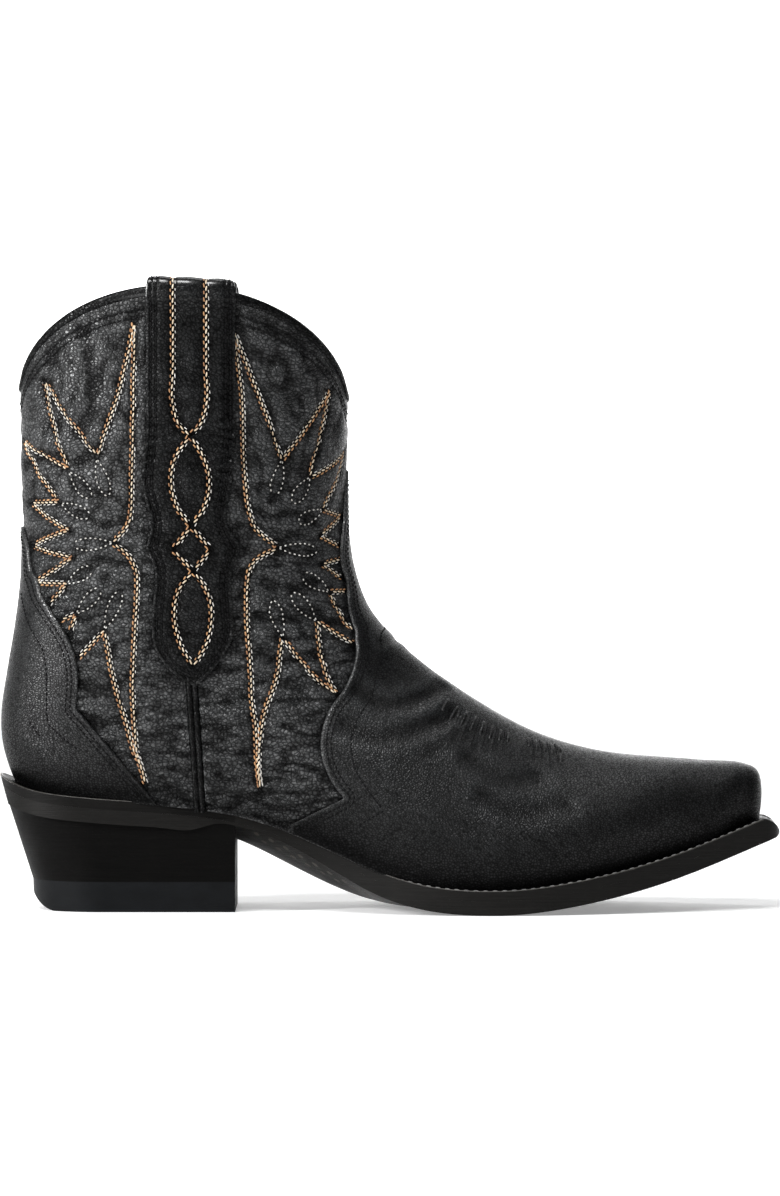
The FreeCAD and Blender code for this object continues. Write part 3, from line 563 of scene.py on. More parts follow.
def side_fields(depth):
    """Fields of every region on the surface that lies depth layers above the linings."""
    surface = skin[depth]
    x, y, z = np.moveaxis(surface, 2, 0)
    vamp_side = curve_through(VAMP_EDGE, *straight(VAMP_EDGE[-1], VAMP_CORNER, (-37, BELOW),
                                                   (FAR, BELOW), (FAR, 114), VAMP_EDGE[0]))
    tongue = curve_through(both_ways(TONGUE_HALF),
                           *straight(TONGUE_HALF[0], (30, 60), (-30, 60), (-17.5, 106)))
    counter_side = curve_through(COUNTER_EDGE, *straight(
        COUNTER_EDGE[-1], (-88, 42), (-84, BELOW), (-FAR, BELOW), (-FAR, 130), COUNTER_EDGE[0]))
    tab = curve_through(both_ways(TAB_HALF),
                        *straight(TAB_HALF[0], (24, 90), (-24, 90), (-18.6, 118)))
    strap = curve_through(*OVERLAY, *straight((STRAP_RIGHT, 180), (STRAP_RIGHT, TOP),
                                              (STRAP_LEFT, TOP), (STRAP_LEFT, 180)))
    seam_z, seam_x = [p[1] for p in SEAM], [p[0] for p in SEAM]
    front_half = np.where(x > -60, 1e3, -1e3)
    return {
        "vamp": np.maximum(region_field(vamp_side[:-1], x, z),
                           np.minimum(region_field(tongue[:-1], y, z), front_half)),
        "counter": np.maximum(region_field(counter_side[:-1], x, z),
                              np.minimum(region_field(tab[:-1], y, z), -front_half)),
        "strap": region_field(strap[:-1], x, z),
        "seam": x - np.interp(z, seam_z, seam_x),
        "collar": (collar_height(x, y) - z) / math.hypot(1, COLLAR_SLOPE),
        "feather": z - np.interp(x, *feather_line()),
    }


shaft = side_fields(1)
cover = side_fields(2)

# ---------------------------------------------------------------- seam lines


SHORTEST_LINE = 9               # places


def chained(links, place_of):
    """Lines through linked places, each from an end where it has one."""
    lines = []
    left = dict.fromkeys(sorted(links, key=lambda key: (len(links[key]), key)))
    while left:
        key = next(iter(left))
        line = []
        while key is not None:
            left.pop(key, None)
            line.append(place_of[key])
            key = next((other for other in links[key] if other in left), None)
        lines.append(np.array(line))
    return lines


def level_lines(field, level, keep):
    """Lines of rows and columns along a level of a field, where the field keep is positive."""
    value = field - level
    links, place_of = {}, {}
    sign = value > 0
    mixed = over_cells(sign, np.logical_or) & ~over_cells(sign, np.logical_and)
    ready = over_cells(usable & ~np.isnan(value), np.logical_and)
    for row, column in zip(*np.nonzero(mixed & ready)):
        corners = cell(row, column)
        spread = [column, column, column + 1, column + 1]
        met = []
        for n in range(4):
            a, b = corners[n], corners[(n + 1) % 4]
            if sign[a] != sign[b]:
                share = value[a] / (value[a] - value[b])
                key = (min(a, b), max(a, b))
                place_of[key] = (a[0] + (b[0] - a[0]) * share,
                                 spread[n] + (spread[(n + 1) % 4] - spread[n]) * share)
                met.append(key)
        for first, second in zip(met[::2], met[1::2]):
            links.setdefault(first, []).append(second)
            links.setdefault(second, []).append(first)
    kept = []
    for line in chained(links, place_of):
        good = sample(keep, line[:, 0], line[:, 1]) > 0
        for piece in np.split(np.arange(len(line)), np.nonzero(np.diff(good))[0] + 1):
            if len(piece) >= SHORTEST_LINE and good[piece[0]]:
                kept.append(line[piece])
    return kept


def on_wall(line, depth, relief=None):
    """Places in mm and normals along a line of rows and columns."""
    rows, columns = line[:, 0], line[:, 1]
    out = sample(normals, rows, columns)
    place = sample(skin[depth], rows, columns)
    if relief is not None:
        place = place + out * sample(relief, rows, columns)[:, None]
    return place, out


TRACE_STEP = 0.25               # mm


def even_trace(place, out):
    """The same line in short even steps."""
    along = running_length(place)
    wanted = np.linspace(0, along[-1], max(int(along[-1] / TRACE_STEP), 2))
    both = at_lengths(wanted, along, np.hstack([place, out]))
    return both[:, :3], both[:, 3:]


def drawn_lines(find, runs):
    """Lines on both sides of the boot through side view places, in mm."""
    lines = []
    for run in runs:
        found = find(run)
        line = smooth_line(found, 24 * len(found)) if len(found) > 2 else \
            np.linspace(found[0], found[1], 24)
        lines += [line, mirrored(line)]
    return lines


# Rings of a stitch: place along it, thickness and rise, as shares of its length and width.
STITCH_RINGS = [(-0.5, 0.0, -0.55), (-0.42, 0.72, -0.1), (-0.2, 1.0, 0.35), (0.2, 1.0, 0.35),
                (0.42, 0.72, -0.1), (0.5, 0.0, -0.55)]
STITCH_SIDES = 6
STITCH_FLATNESS = 0.8           # a stitch's height against its width


def stitch_faces(first):
    """The faces of a stitch whose places are numbered from first on."""
    faces = []
    last = first + 1 + (len(STITCH_RINGS) - 3) * STITCH_SIDES
    for n in range(STITCH_SIDES):
        after = (n + 1) % STITCH_SIDES
        faces.append([first, first + 1 + after, first + 1 + n])
        for base in range(first + 1, last, STITCH_SIDES):
            faces.append([base + n, base + after, base + after + STITCH_SIDES,
                          base + n + STITCH_SIDES])
        faces.append([last + n, last + after, last + STITCH_SIDES])
    return faces


def stitch_mesh(name, traces, pitch, width, material, side=0.0, phase=0.0, lean=0.0, lift=0.0,
                fill=0.84):
    """A row of stitches along traces: each is a short bead of thread that dips into the leather.
    Sizes are in mm; side moves the row sideways and lean turns each stitch towards the side."""
    places, faces = [], []
    turns = np.linspace(0, 2 * math.pi, STITCH_SIDES + 1)[:-1]
    for place, out in traces:
        along = running_length(place)
        count = int((along[-1] - phase * pitch) / pitch)
        if count < 1:
            continue
        middles = (np.arange(count) + 0.5 + phase) * pitch
        up = at_lengths(middles, along, out)
        forward = unit(at_lengths(middles + 0.3 * pitch, along, place)
                       - at_lengths(middles - 0.3 * pitch, along, place))
        across = unit(np.cross(up, forward))
        middle = at_lengths(middles, along, place) + across * side
        for centre, ahead, over, high in zip(middle, forward + across * lean, across, up):
            faces += stitch_faces(len(places))
            for share, thick, rise in STITCH_RINGS:
                core = centre + ahead * share * pitch * fill + high * (rise * width * 0.5 + lift)
                radius = thick * width / 2
                if radius:
                    places += [core + radius * (over * math.cos(turn)
                                                + high * math.sin(turn) * STITCH_FLATNESS)
                               for turn in turns]
                else:
                    places.append(core)
    fit_piece(make_mesh(name, np.array(places) * MM, faces), material)


def distances(traces, cap):
    """Distance in mm from every place on the wall to the nearest trace, up to cap."""
    points = np.vstack([place[::3] for place, _ in traces])
    tree = kdtree.KDTree(len(points))
    for n, point in enumerate(points):
        tree.insert(point, n)
    tree.balance()
    far = np.full((ROWS, COLUMNS), float(cap))
    surface = skin[1]
    for row in range(ROWS):
        for column in range(COLUMNS):
            if usable[row, column]:
                gap = tree.find(surface[row, column])[2]
                far[row, column] = min(gap, cap)
    return far

# ------------------------------------------------------- decorative stitching

# Gold lines on the back half of the shaft, as smooth runs that meet at points, in side view mm.
BACK_GOLD = [
    [(-95.4, 221.9), (-96.0, 189.0), (-96.6, 160.6), (-97.6, 146.6), (-103.7, 139.0)],
    [(-103.7, 139.0), (-97.0, 133.3), (-94.6, 125.7), (-95.6, 103.0), (-96.3, 86.0), (-95.6, 69.0),
     (-93.6, 56.0), (-91.3, 48.1)],
    [(-95.4, 221.9), (-101, 197), (-109.8, 171.6)], [(-109.8, 171.6), (-130.5, 199.7)],
    [(-130.5, 199.7), (-125.5, 181), (-120.7, 166.2)], [(-120.7, 166.2), (-137.4, 177.2)],
    [(-137.4, 177.2), (-131, 163.5), (-124.0, 154.1)], [(-124.0, 154.1), (-134.8, 153.6)],
    [(-134.8, 153.6), (-127.5, 147.5), (-120.2, 143.6)], [(-120.2, 143.6), (-134.8, 137.5)],
    [(-134.8, 137.5), (-118.7, 133.3)], [(-118.7, 133.3), (-132.9, 123.8)],
    [(-132.9, 123.8), (-121.1, 123.5)], [(-121.1, 123.5), (-128.2, 115.5)],
    [(-123.8, 109.7), (-117.6, 112.2)], [(-117.6, 112.2), (-120.0, 104.6)],
    [(-117.1, 95.4), (-107.0, 106.3)], [(-107.0, 106.3), (-103.8, 88.8), (-98.5, 70.1),
                                             (-94.2, 57.0), (-91.3, 48.1)],
]
FRONT_GOLD = [
    [(-58.5, 219.0), (-55.6, 199), (-54.7, 179.5), (-53.8, 160.6), (-50.6, 145.5), (-41.5, 137.1)],
    [(-41.5, 137.1), (-50.3, 132.2), (-52.6, 127.4), (-53.4, 116.3), (-52.6, 98.8), (-51.8, 84.5),
     (-50.2, 70.8), (-48.3, 47.0)],
    [(-58.5, 219.0), (-49.5, 196), (-40.1, 170.0)], [(-40.1, 170.0), (-22.2, 196.4)],
    [(-22.2, 196.4), (-25.4, 180), (-29.7, 163.4)], [(-29.7, 163.4), (-16.9, 172.9)],
    [(-16.9, 172.9), (-20.3, 161), (-25.0, 151.2)], [(-25.0, 151.2), (-17.8, 148.6)],
    [(-17.8, 148.6), (-25.9, 141.6)], [(-25.9, 141.6), (-18.4, 137.1)],
    [(-18.0, 132.5), (-25.2, 130.7)], [(-25.2, 130.7), (-17.2, 125.0)],
    [(-15.9, 120.2), (-22.7, 120.2)], [(-22.7, 120.2), (-13.2, 105.1)],
    [(-12.8, 100.7), (-27.1, 109.4)], [(-27.1, 109.4), (-24.5, 93), (-19.5, 82.0)],
    [(-19.5, 82.0), (-39.9, 103.5)], [(-39.9, 103.5), (-43.6, 84), (-48.3, 47.0)],
]
# Petals of fine white stitches: each from its foot to its tip.
PETALS = [
    ((-109.8, 170.4), (-105.6, 156.8)), ((-120.2, 165.5), (-112.3, 156.0)),
    ((-123.5, 153.6), (-112.7, 148.8)), ((-103.7, 139.0), (-118.3, 138.0)),
    ((-121.1, 123.5), (-111.7, 129.5)), ((-117.6, 112.2), (-108.6, 121.6)),
    ((-107.0, 106.4), (-101.0, 120.7)), ((-40.1, 170.0), (-43.4, 156.9)),
    ((-29.7, 163.4), (-36.4, 154.0)), ((-25.0, 151.2), (-34.0, 146.5)),
    ((-41.5, 137.1), (-27.4, 135.7)), ((-22.7, 120.2), (-32.7, 127.0)),
    ((-27.1, 109.4), (-36.7, 119.8)), ((-39.9, 103.5), (-43.9, 117.0)),
]
PETAL_WIDTH = 2.3               # half the width where it is widest, mm
# A petal's outline: shares of its length and of that width.
PETAL_SHAPE = [(0, 0), (0.32, 0.72), (0.68, 1), (0.92, 0.62), (1.04, 0)]
# Pitch, thickness and fill of the stitches, in mm and as a share of the pitch.
PETAL_PITCH, PETAL_THREAD, PETAL_FILL = 2.0, 0.52, 0.46
PANEL_PITCH, STRAP_PITCH = 2.35, 2.7
BLACK_PITCH, COLLAR_PITCH, BLACK_THREAD = 1.9, 2.1, 0.6
TOE_PITCH, TOE_THREAD = 1.5, 0.42


def petal_runs():
    """Both sides of every petal."""
    runs = []
    for foot, tip in PETALS:
        foot, tip = np.array(foot), np.array(tip)
        run = tip - foot
        aside = np.array([-run[1], run[0]]) / np.linalg.norm(run) * PETAL_WIDTH
        for sign in (-1, 1):
            runs.append([tuple(foot + run * share + sign * aside * wide)
                         for share, wide in PETAL_SHAPE])
    return runs


def traces_of(lines, depth, relief=None):
    """Even traces of places and normals along lines of rows and columns."""
    return [even_trace(*on_wall(line, depth, relief)) for line in lines]


gold_lines = drawn_lines(find_on_shaft, BACK_GOLD + FRONT_GOLD)
petal_lines = drawn_lines(find_on_shaft, petal_runs())

# --------------------------------------------------------------------- relief


def noise_grid(size, stretch=(1, 1, 1), seed=0.0):
    """Smooth noise over the wall, about -1 to 1; size is its grain in mm."""
    values = np.zeros((ROWS, COLUMNS))
    scale = np.array(stretch) / size
    places = np.nan_to_num(skin[1]) * scale + seed
    for row in range(ROWS):
        for column in range(COLUMNS):
            if usable[row, column]:
                values[row, column] = noise.noise(places[row, column])
    return values


def groove(far, depth, width):
    """A round furrow, by the distance from its middle."""
    return -depth * np.exp(-(far / width) ** 2)


FOLD_DEPTH = 1.35               # how much deeper all folds are than listed
# Folds that wear leaves in the shaft: places in the side view, depth and width, in mm.
SHAFT_FOLDS = [
    ([(-131, 222), (-127, 208), (-128, 196), (-124, 184)], 0.5, 3.4),
    ([(-118, 226), (-113, 210), (-112, 196)], 0.5, 3.0),
    ([(-108, 205), (-112, 188), (-120, 178)], 0.5, 3.4),
    ([(-136, 168), (-128, 172), (-118, 170), (-108, 174)], 0.45, 2.6),
    ([(-104, 158), (-99.5, 152), (-100, 146)], 0.35, 1.6),
    ([(-116, 150), (-108, 146), (-101, 147)], 0.4, 1.8),
    ([(-128, 128), (-118, 127), (-108, 133), (-99, 131)], 0.4, 2.2),
    ([(-52, 152), (-44, 149), (-36, 150), (-28, 147)], 0.4, 2.0),
    ([(-50, 160), (-43, 161.5), (-36, 159)], 0.3, 1.6),
    ([(-48, 124), (-38, 122), (-28, 125)], 0.35, 2.2),
    ([(-49, 113), (-40, 110), (-30, 112), (-18, 108)], 0.45, 2.6),
    ([(-48, 98), (-38, 95), (-26, 98)], 0.4, 2.6),
    ([(-120, 88), (-110, 84), (-99, 87)], 0.4, 2.8),
    ([(-116, 74), (-106, 71), (-98, 73)], 0.3, 2.4),
]
VAMP_FOLDS = [
    ([(-12, 84), (0, 78), (12, 80), (20, 84)], 0.5, 3.2),
    ([(-16, 70), (-4, 66), (10, 68), (24, 74)], 0.45, 3.4),
    ([(30, 58), (44, 50), (56, 50)], 0.35, 4.0),
    ([(36, 44), (50, 38), (66, 40)], 0.35, 4.0),
    ([(8, 106), (2, 102), (-4, 101)], 0.4, 2.0),
]
# Cords raised by the stitching over the toe: top end and foot in the side view, mm.
TOE_CORDS = [((22.4, 79.6), (17.6, 72.6)), ((25.8, 77.4), (20.6, 68.4)), ((29.4, 75.4), (24.4, 65.2)),
             ((32.6, 73.6), (28.4, 63.4)), ((35.8, 71.8), (32.4, 61.8)), ((39.0, 70.2), (36.4, 60.4)),
             ((42.2, 68.8), (40.2, 59.6)), ((45.0, 67.6), (44.0, 59.6)),
             ((52.4, 65.6), (53.0, 57.6)), ((55.2, 64.6), (56.0, 55.8)), ((58.0, 63.8), (59.0, 54.6)),
             ((60.8, 63.0), (62.0, 54.4)), ((63.6, 62.4), (64.8, 55.2))]
CORD_WIDTH, CORD_SUNK = 1.8, -0.36
CORD_LENGTH = 0.98              # each cord is a little shorter than its line
CORD_GAP = 5                    # cords further apart than this have no stitching between them


def fold_relief(find, folds, layer):
    """Soft furrows along the folds, each with a lower swell on both sides."""
    total = np.zeros((ROWS, COLUMNS))
    for places, depth, width in folds:
        depth *= FOLD_DEPTH
        far = distances(traces_of(drawn_lines(find, [places]), layer), 4 * width)
        total += groove(far, depth, width) - groove(far - 1.7 * width, 0.5 * depth, width)
    return total

# ------------------------------------------------------- strips: strap, piping


def grid_faces(rows, columns, first=0, flip=False):
    """Quads over a grid of places numbered row by row."""
    faces = []
    for row in range(rows - 1):
        for column in range(columns - 1):
            corner = first + row * columns + column
            face = [corner, corner + columns, corner + columns + 1, corner + 1]
            faces.append(face[::-1] if flip else face)
    return faces


def grid_solid(name, top, bottom, **marks):
    """A closed solid between two grids of places in mm."""
    rows, columns = top.shape[:2]
    count = rows * columns
    faces = grid_faces(rows, columns) + grid_faces(rows, columns, count, flip=True)
    numbers = np.arange(count).reshape(rows, columns)
    border = [int(n) for n in (*numbers[0], *numbers[1:, -1], *numbers[-1, -2::-1],
                               *numbers[-2:0:-1, 0])]
    for number, follower in zip(border, border[1:] + border[:1]):
        faces.append([number, follower, follower + count, number + count])
    places = np.vstack([top.reshape(-1, 3), bottom.reshape(-1, 3)]) * MM
    made = make_mesh(name, places, faces)
    for kind, values in marks.items():
        mark(made, kind, np.tile(np.ravel(values), 2))
    return tidy_mesh(made)


SHARP_EDGE = math.radians(60)


def tidy_mesh(made, apart=0.01):
    """Drops loose corners, joins those less than apart mm apart, turns the faces outwards and
    marks sharp edges."""
    bm = bmesh.new()
    bm.from_mesh(made.data)
    bmesh.ops.delete(bm, geom=[v for v in bm.verts if not v.link_faces], context="VERTS")
    bmesh.ops.remove_doubles(bm, verts=bm.verts, dist=apart * MM)
    bmesh.ops.dissolve_degenerate(bm, edges=bm.edges, dist=apart / 2 * MM)
    bmesh.ops.recalc_face_normals(bm, faces=bm.faces)
    bm.to_mesh(made.data)
    bm.free()
    made.data.set_sharp_from_angle(angle=SHARP_EDGE)
    return made


def skin_tree(depth):
    """A tree of the wall's faces, in mm, moved out by whole layers."""
    cells = np.nonzero(over_cells(usable, np.logical_and))
    faces = [[int(n) for n in numbered(cell(*place))] for place in zip(*cells)]
    places = np.nan_to_num(skin[depth]).reshape(-1, 3)
    return BVHTree.FromPolygons([tuple(p) for p in places], faces)


wall_tree = skin_tree(0)
SIDES = {"lateral": -1, "medial": 1}


def beside(x, z, side):
    """The wall's place and normal at a side view place, on one side of the boot."""
    place, out, _, _ = wall_tree.ray_cast(Vector((x, side * 90, z)), Vector((0, -side, 0)))
    out = np.array(out)
    return np.array(place), out if out[1] * side > 0 else -out


STRAP_TIP, STRAP_STRAIGHT = 85.0, 200.0    # heights of its tip and of where its edges get straight
FOLD_FOOT, INSIDE_END = 233.8, 190.0       # heights where the fold begins and the inner leg ends
TIP_LENGTH, TIP_ROWS, TIP_CROWDING = 12, 25, 1.6   # rows lie closer together at the tip
OUTER_STEP, INNER_STEP = 0.9, 1.5
STRAP_COLUMNS = 57
STRAP_LAYERS = 2                # the strap's face lies so many layers above the linings
FOLD_STEPS = 18
FOLD_ARC = 2.6                  # mm of strap to a radian of the fold
FOLD_CORNER = 1.8               # radius of the corners at the ends of the fold
FOLD_TILT = 0.042               # the fold drops a little towards the front
STRAP_BULGE = 1.1               # how far the strap stands off the collar under its fold
BULGE_HEIGHT, BULGE_REACH = 230.6, 2.8

rear_edge = curve_through(*OVERLAY[:2])[::-1]
front_edge = curve_through(*OVERLAY[2:])


def strap_edges(height):
    """The strap's rear and front edge at a height."""
    return (np.interp(height, rear_edge[:, 1], rear_edge[:, 0]),
            np.interp(height, front_edge[:, 1], front_edge[:, 0]))


def strap_shares():
    """Places across the strap from 0 to 1, closer together at the edges."""
    turn = np.linspace(-math.pi / 2, math.pi / 2, STRAP_COLUMNS)
    return 0.25 * (1 + np.sin(turn)) + 0.5 * np.linspace(0, 1, STRAP_COLUMNS)


def strap_row(height, side, rise, turned=1):
    """The strap's places and normals across it at a height, rise mm above the linings."""
    rear, front = strap_edges(height)
    row = [beside(rear + share * (front - rear), height, side) for share in strap_shares()]
    return [place + rise * out for place, out in row], [turned * out for _, out in row]


def strap_fold(outer, outward):
    """The strap's places and normals over the collar, from those at the foot of its fold."""
    thick = 2 * STRAP_LAYERS * LAYER / MM
    middle = outer - outward * thick / 2
    _, to_edge = strap_across(np.array([FOLD_FOOT]))
    slack = 1 - np.clip(to_edge[0] / FOLD_CORNER, 0, 1)
    crown = STRAP_TOP - FOLD_FOOT - FOLD_TILT * (outer[:, 0] - STRAP_LEFT) \
        - FOLD_CORNER * (1 - np.sqrt(1 - slack ** 2))
    up = np.array([0, 0, 1.0])
    for turn in np.linspace(0, math.pi, FOLD_STEPS + 1)[1:]:
        lift = math.sin(turn) if turn < math.pi else 0
        yield (turn, middle + outward * thick / 2 * math.cos(turn) + np.outer(crown * lift, up),
               outward * math.cos(turn) + up * math.sin(turn))


def strap_grid(side):
    """Places, normals and the length along the strap, from its tip over the fold to its inner end."""
    tip_rows = STRAP_TIP + TIP_LENGTH * np.linspace(0, 1, TIP_ROWS + 1)[:-1] ** TIP_CROWDING
    rows = []
    legs = np.arange(STRAP_TIP + TIP_LENGTH, FOLD_FOOT, OUTER_STEP)
    for height in [*tip_rows, *legs, FOLD_FOOT]:
        bulge = STRAP_BULGE * math.exp(-((height - BULGE_HEIGHT) / BULGE_REACH) ** 2)
        rows.append((height, *strap_row(height, side, STRAP_LAYERS * LAYER / MM + bulge)))
    for turn, places, outs in strap_fold(np.array(rows[-1][1]), np.array(rows[-1][2])):
        rows.append((FOLD_FOOT + turn * FOLD_ARC, places, outs))
    for height in np.arange(FOLD_FOOT - 1, INSIDE_END, -INNER_STEP):
        length = FOLD_FOOT + math.pi * FOLD_ARC + FOLD_FOOT - height
        rows.append((length, *strap_row(height, side, -STRAP_LAYERS * LAYER / MM, turned=-1)))
    lengths, places, outs = zip(*rows)
    return np.array(places), np.array(outs), np.array(lengths)


def strap_across(lengths):
    """Side view x of every place on the strap's grid, and its distance from the nearer edge."""
    rear, front = strap_edges(np.minimum(lengths, STRAP_STRAIGHT)[:, None])
    shares = strap_shares()[None]
    return rear + shares * (front - rear), np.minimum(shares, 1 - shares) * (front - rear)


# Gold lines on the strap: places across it and along it, in mm.
STRAP_GOLD = [
    [(-80.9, 262), (-80.9, 235), (-80.9, 205), (-81.2, 193), (-79.0, 184), (-74.6, 179.2)],
    [(-68.7, 262), (-68.7, 235), (-68.7, 205), (-68.4, 193), (-70.6, 184), (-74.6, 179.2)],
    [(-74.6, 179.2), (-80.0, 171), (-81.6, 162.1), (-79.4, 152.5), (-74.2, 145.2)],
    [(-74.6, 179.2), (-69.6, 171), (-67.6, 162.1), (-69.4, 152.5), (-74.2, 145.2)],
    [(-74.2, 145.2), (-80.9, 136.7)], [(-80.9, 136.7), (-73.5, 128.6)],
    [(-74.2, 145.2), (-67.0, 136.7)], [(-67.0, 136.7), (-73.5, 128.6)],
    [(-73.5, 128.6), (-79.0, 121), (-80.5, 111.7), (-78.2, 101), (-73.5, 92.8)],
    [(-73.5, 128.6), (-68.4, 121), (-66.8, 111.7), (-68.8, 101), (-73.5, 92.8)],
]
STRAP_ROWS_INSIDE = (1.8, 3.6)  # black stitch rows along the strap's edges, mm inside them
STRAP_ROWS_END = 262            # how far along the strap they run, over the fold


def strap_gold():
    return [smooth_line(run, 40 * len(run)) if len(run) > 2 else np.linspace(run[0], run[1], 40)
            for run in STRAP_GOLD]


def strap_black():
    """Black stitch rows that follow the strap's edges round its tip."""
    heights = np.concatenate([np.arange(STRAP_ROWS_END, 96, -1.0), np.arange(96, STRAP_TIP, -0.4)])
    rear, front = strap_edges(np.minimum(heights, STRAP_STRAIGHT))
    outline = np.vstack([np.stack([rear, heights], 1), np.stack([front, heights], 1)[::-1]])
    run = unit(np.gradient(outline, axis=0))
    lines = []
    for inside in STRAP_ROWS_INSIDE:
        inner = outline + inside * np.stack([-run[:, 1], run[:, 0]], 1)
        edge = region_field(outline, inner[:, 0], inner[:, 1])
        lines.append(inner[edge > inside - 0.08])
    return lines


def strap_noise(across, along, wide, tall, seed):
    """Smooth noise over the strap; its grain is wide and tall, in mm."""
    return np.array([[noise.noise(Vector((x / wide, z / tall, seed))) for x, z in zip(xs, zs)]
                     for xs, zs in zip(across, along)])


GATHER_HEIGHT, GATHER_REACH, GATHER_INSIDE = 173, 15, 5.5   # where the strap's edges are gathered
GATHER_DEPTH, GATHER_PITCH = 0.62, 3.9
STRAP_EDGE_ROLL, STRAP_SWELL = 0.7, 0.35    # mm
# Grooves under the stitches: depth and width in mm; and the painted shade there: strength and width.
STRAP_GOLD_GROOVE, STRAP_BLACK_GROOVE = (0.35, 0.9), (0.3, 0.7)
STRAP_GOLD_SHADE, STRAP_BLACK_SHADE = (0.7, 1.5), (0.4, 0.6)


def strap_relief(across, lengths, inside, seed):
    """How far the strap's face stands out, in mm, and its painted shading: stitched grooves,
    gathers and soft creases, with painted shade along the stitching and a lighter cut edge, partly
    wear and partly painted highlight."""
    along = np.repeat(lengths[:, None], STRAP_COLUMNS, 1)
    gold = line_distance(strap_gold(), across, along)
    black = line_distance(strap_black(), across, along)
    gather = np.exp(-((along - GATHER_HEIGHT) / GATHER_REACH) ** 4) \
        * np.exp(-(inside / GATHER_INSIDE) ** 2)
    wander = strap_noise(across, along, 7, 9, seed)
    fine = strap_noise(across, along, 9, 2.6, seed + 7)
    roll = np.clip(1 - inside / STRAP_EDGE_ROLL, 0, 1)
    relief = groove(gold, *STRAP_GOLD_GROOVE) + groove(black, *STRAP_BLACK_GROOVE)
    relief += STRAP_SWELL * (1 + groove(gold, 1, 3.5)) * (1 + groove(inside, 1, 4))
    relief += GATHER_DEPTH * gather * np.sin(2 * math.pi * along / GATHER_PITCH + 5 * wander)
    relief += 0.4 * wander * (along < 225) + 0.34 * fine * (along < 205)
    relief -= STRAP_EDGE_ROLL * (1 - np.sqrt(1 - roll ** 2))
    # Painted shade along the stitching; the cut edge is painted lighter, partly wear and partly
    # painted highlight.
    dark = groove(inside, 1, EDGE_WEAR_AND_HIGHLIGHT) - groove(gold, *STRAP_GOLD_SHADE) \
        - groove(black, *STRAP_BLACK_SHADE)
    return relief * np.clip(inside / 0.5 + 0.3, 0, 1), dark


def make_strap(side_name, material):
    """A pull strap: overlay, outer leg, fold over the collar and inner leg."""
    side = SIDES[side_name]
    places, outs, lengths = strap_grid(side)
    across, inside = strap_across(lengths)
    relief, dark = strap_relief(across, lengths, inside, 3.0 + side)
    face = places + outs * relief[..., None]
    gauge = np.clip(inside / 0.4, 0.5, 1)[..., None] * 1.15
    rise = np.clip((relief - np.median(relief, 1, keepdims=True)) / (2 * RIDGE), -1, 1)
    strap = grid_solid("pull_strap_leather_" + side_name, face, places - outs * gauge,
                       ridge=rise, dark=dark)
    fit_piece(strap, material, "pull_strap_" + side_name)
    return face, outs, lengths


def on_strap(line, face, outs, lengths):
    """Places and normals on a strap along a line of places across and along it."""
    rear, front = strap_edges(np.minimum(line[:, 1], STRAP_STRAIGHT))
    share = np.interp((line[:, 0] - rear) / (front - rear), strap_shares(),
                      np.arange(STRAP_COLUMNS))
    row = np.interp(line[:, 1], lengths, np.arange(len(lengths)))
    top = np.minimum(row.astype(int), len(lengths) - 2)
    left = np.clip(share.astype(int), 0, STRAP_COLUMNS - 2)
    return [blend(grid, top, left, left + 1, row - top, share - left) for grid in (face, outs)]


# The side piping's section: places across it, and how high they are above the linings.
PIPING_PROFILE = [(-2.1, 1.0), (-2.05, 1.9), (-1.7, 2.35), (-1.1, 2.45), (-0.55, 2.3), (-0.2, 1.95),
                  (0, 1.8), (0.2, 1.95), (0.55, 2.3), (1.1, 2.45), (1.7, 2.35), (2.05, 1.9),
                  (2.1, 1.0)]
PIPING_TOP, PIPING_FOOT = 90.0, 37.5


def make_piping(side_name, material):
    """The strip over the side seam, with a groove down its middle."""
    side = SIDES[side_name]
    top, bottom = [], []
    for height in np.arange(PIPING_TOP, PIPING_FOOT, -0.8):
        seam = np.interp(height, [p[1] for p in SEAM], [p[0] for p in SEAM])
        middle, out = beside(seam, height, side)
        wobble = 0.12 * noise.noise(Vector((height / 6, side, 0.5)))
        places = [beside(seam + across, height, side)[0] for across, _ in PIPING_PROFILE]
        top.append([place + out * (rise + wobble)
                    for place, (_, rise) in zip(places, PIPING_PROFILE)])
        bottom.append([place + out * 0.2 for place in places])
    piping = grid_solid("side_piping_strip_" + side_name, np.array(top), np.array(bottom))
    fit_piece(piping, material, "side_piping_" + side_name)


# The binding's section: how far below the collar's edge, and out from the linings' face.
BINDING_SECTION = [(2.5, 1.0), (2.45, 1.6), (2.2, 1.85), (1.6, 1.95), (0.9, 1.85), (0.35, 1.55),
                   (0.05, 1.0), (0.0, 0.2), (0.15, -0.5), (0.6, -1.0), (1.4, -1.25),
                   (3.0, -1.25), (3.3, -0.9)]


def collar_rows(level):
    """For each column, the row where the wall is level mm below the collar's edge."""
    field = shaft["collar"]
    rows = np.zeros(COLUMNS)
    for column in range(COLUMNS):
        values = field[:120, column]
        good = np.nonzero(~np.isnan(values))[0]
        rows[column] = np.interp(level, values[good], good)
    return rows


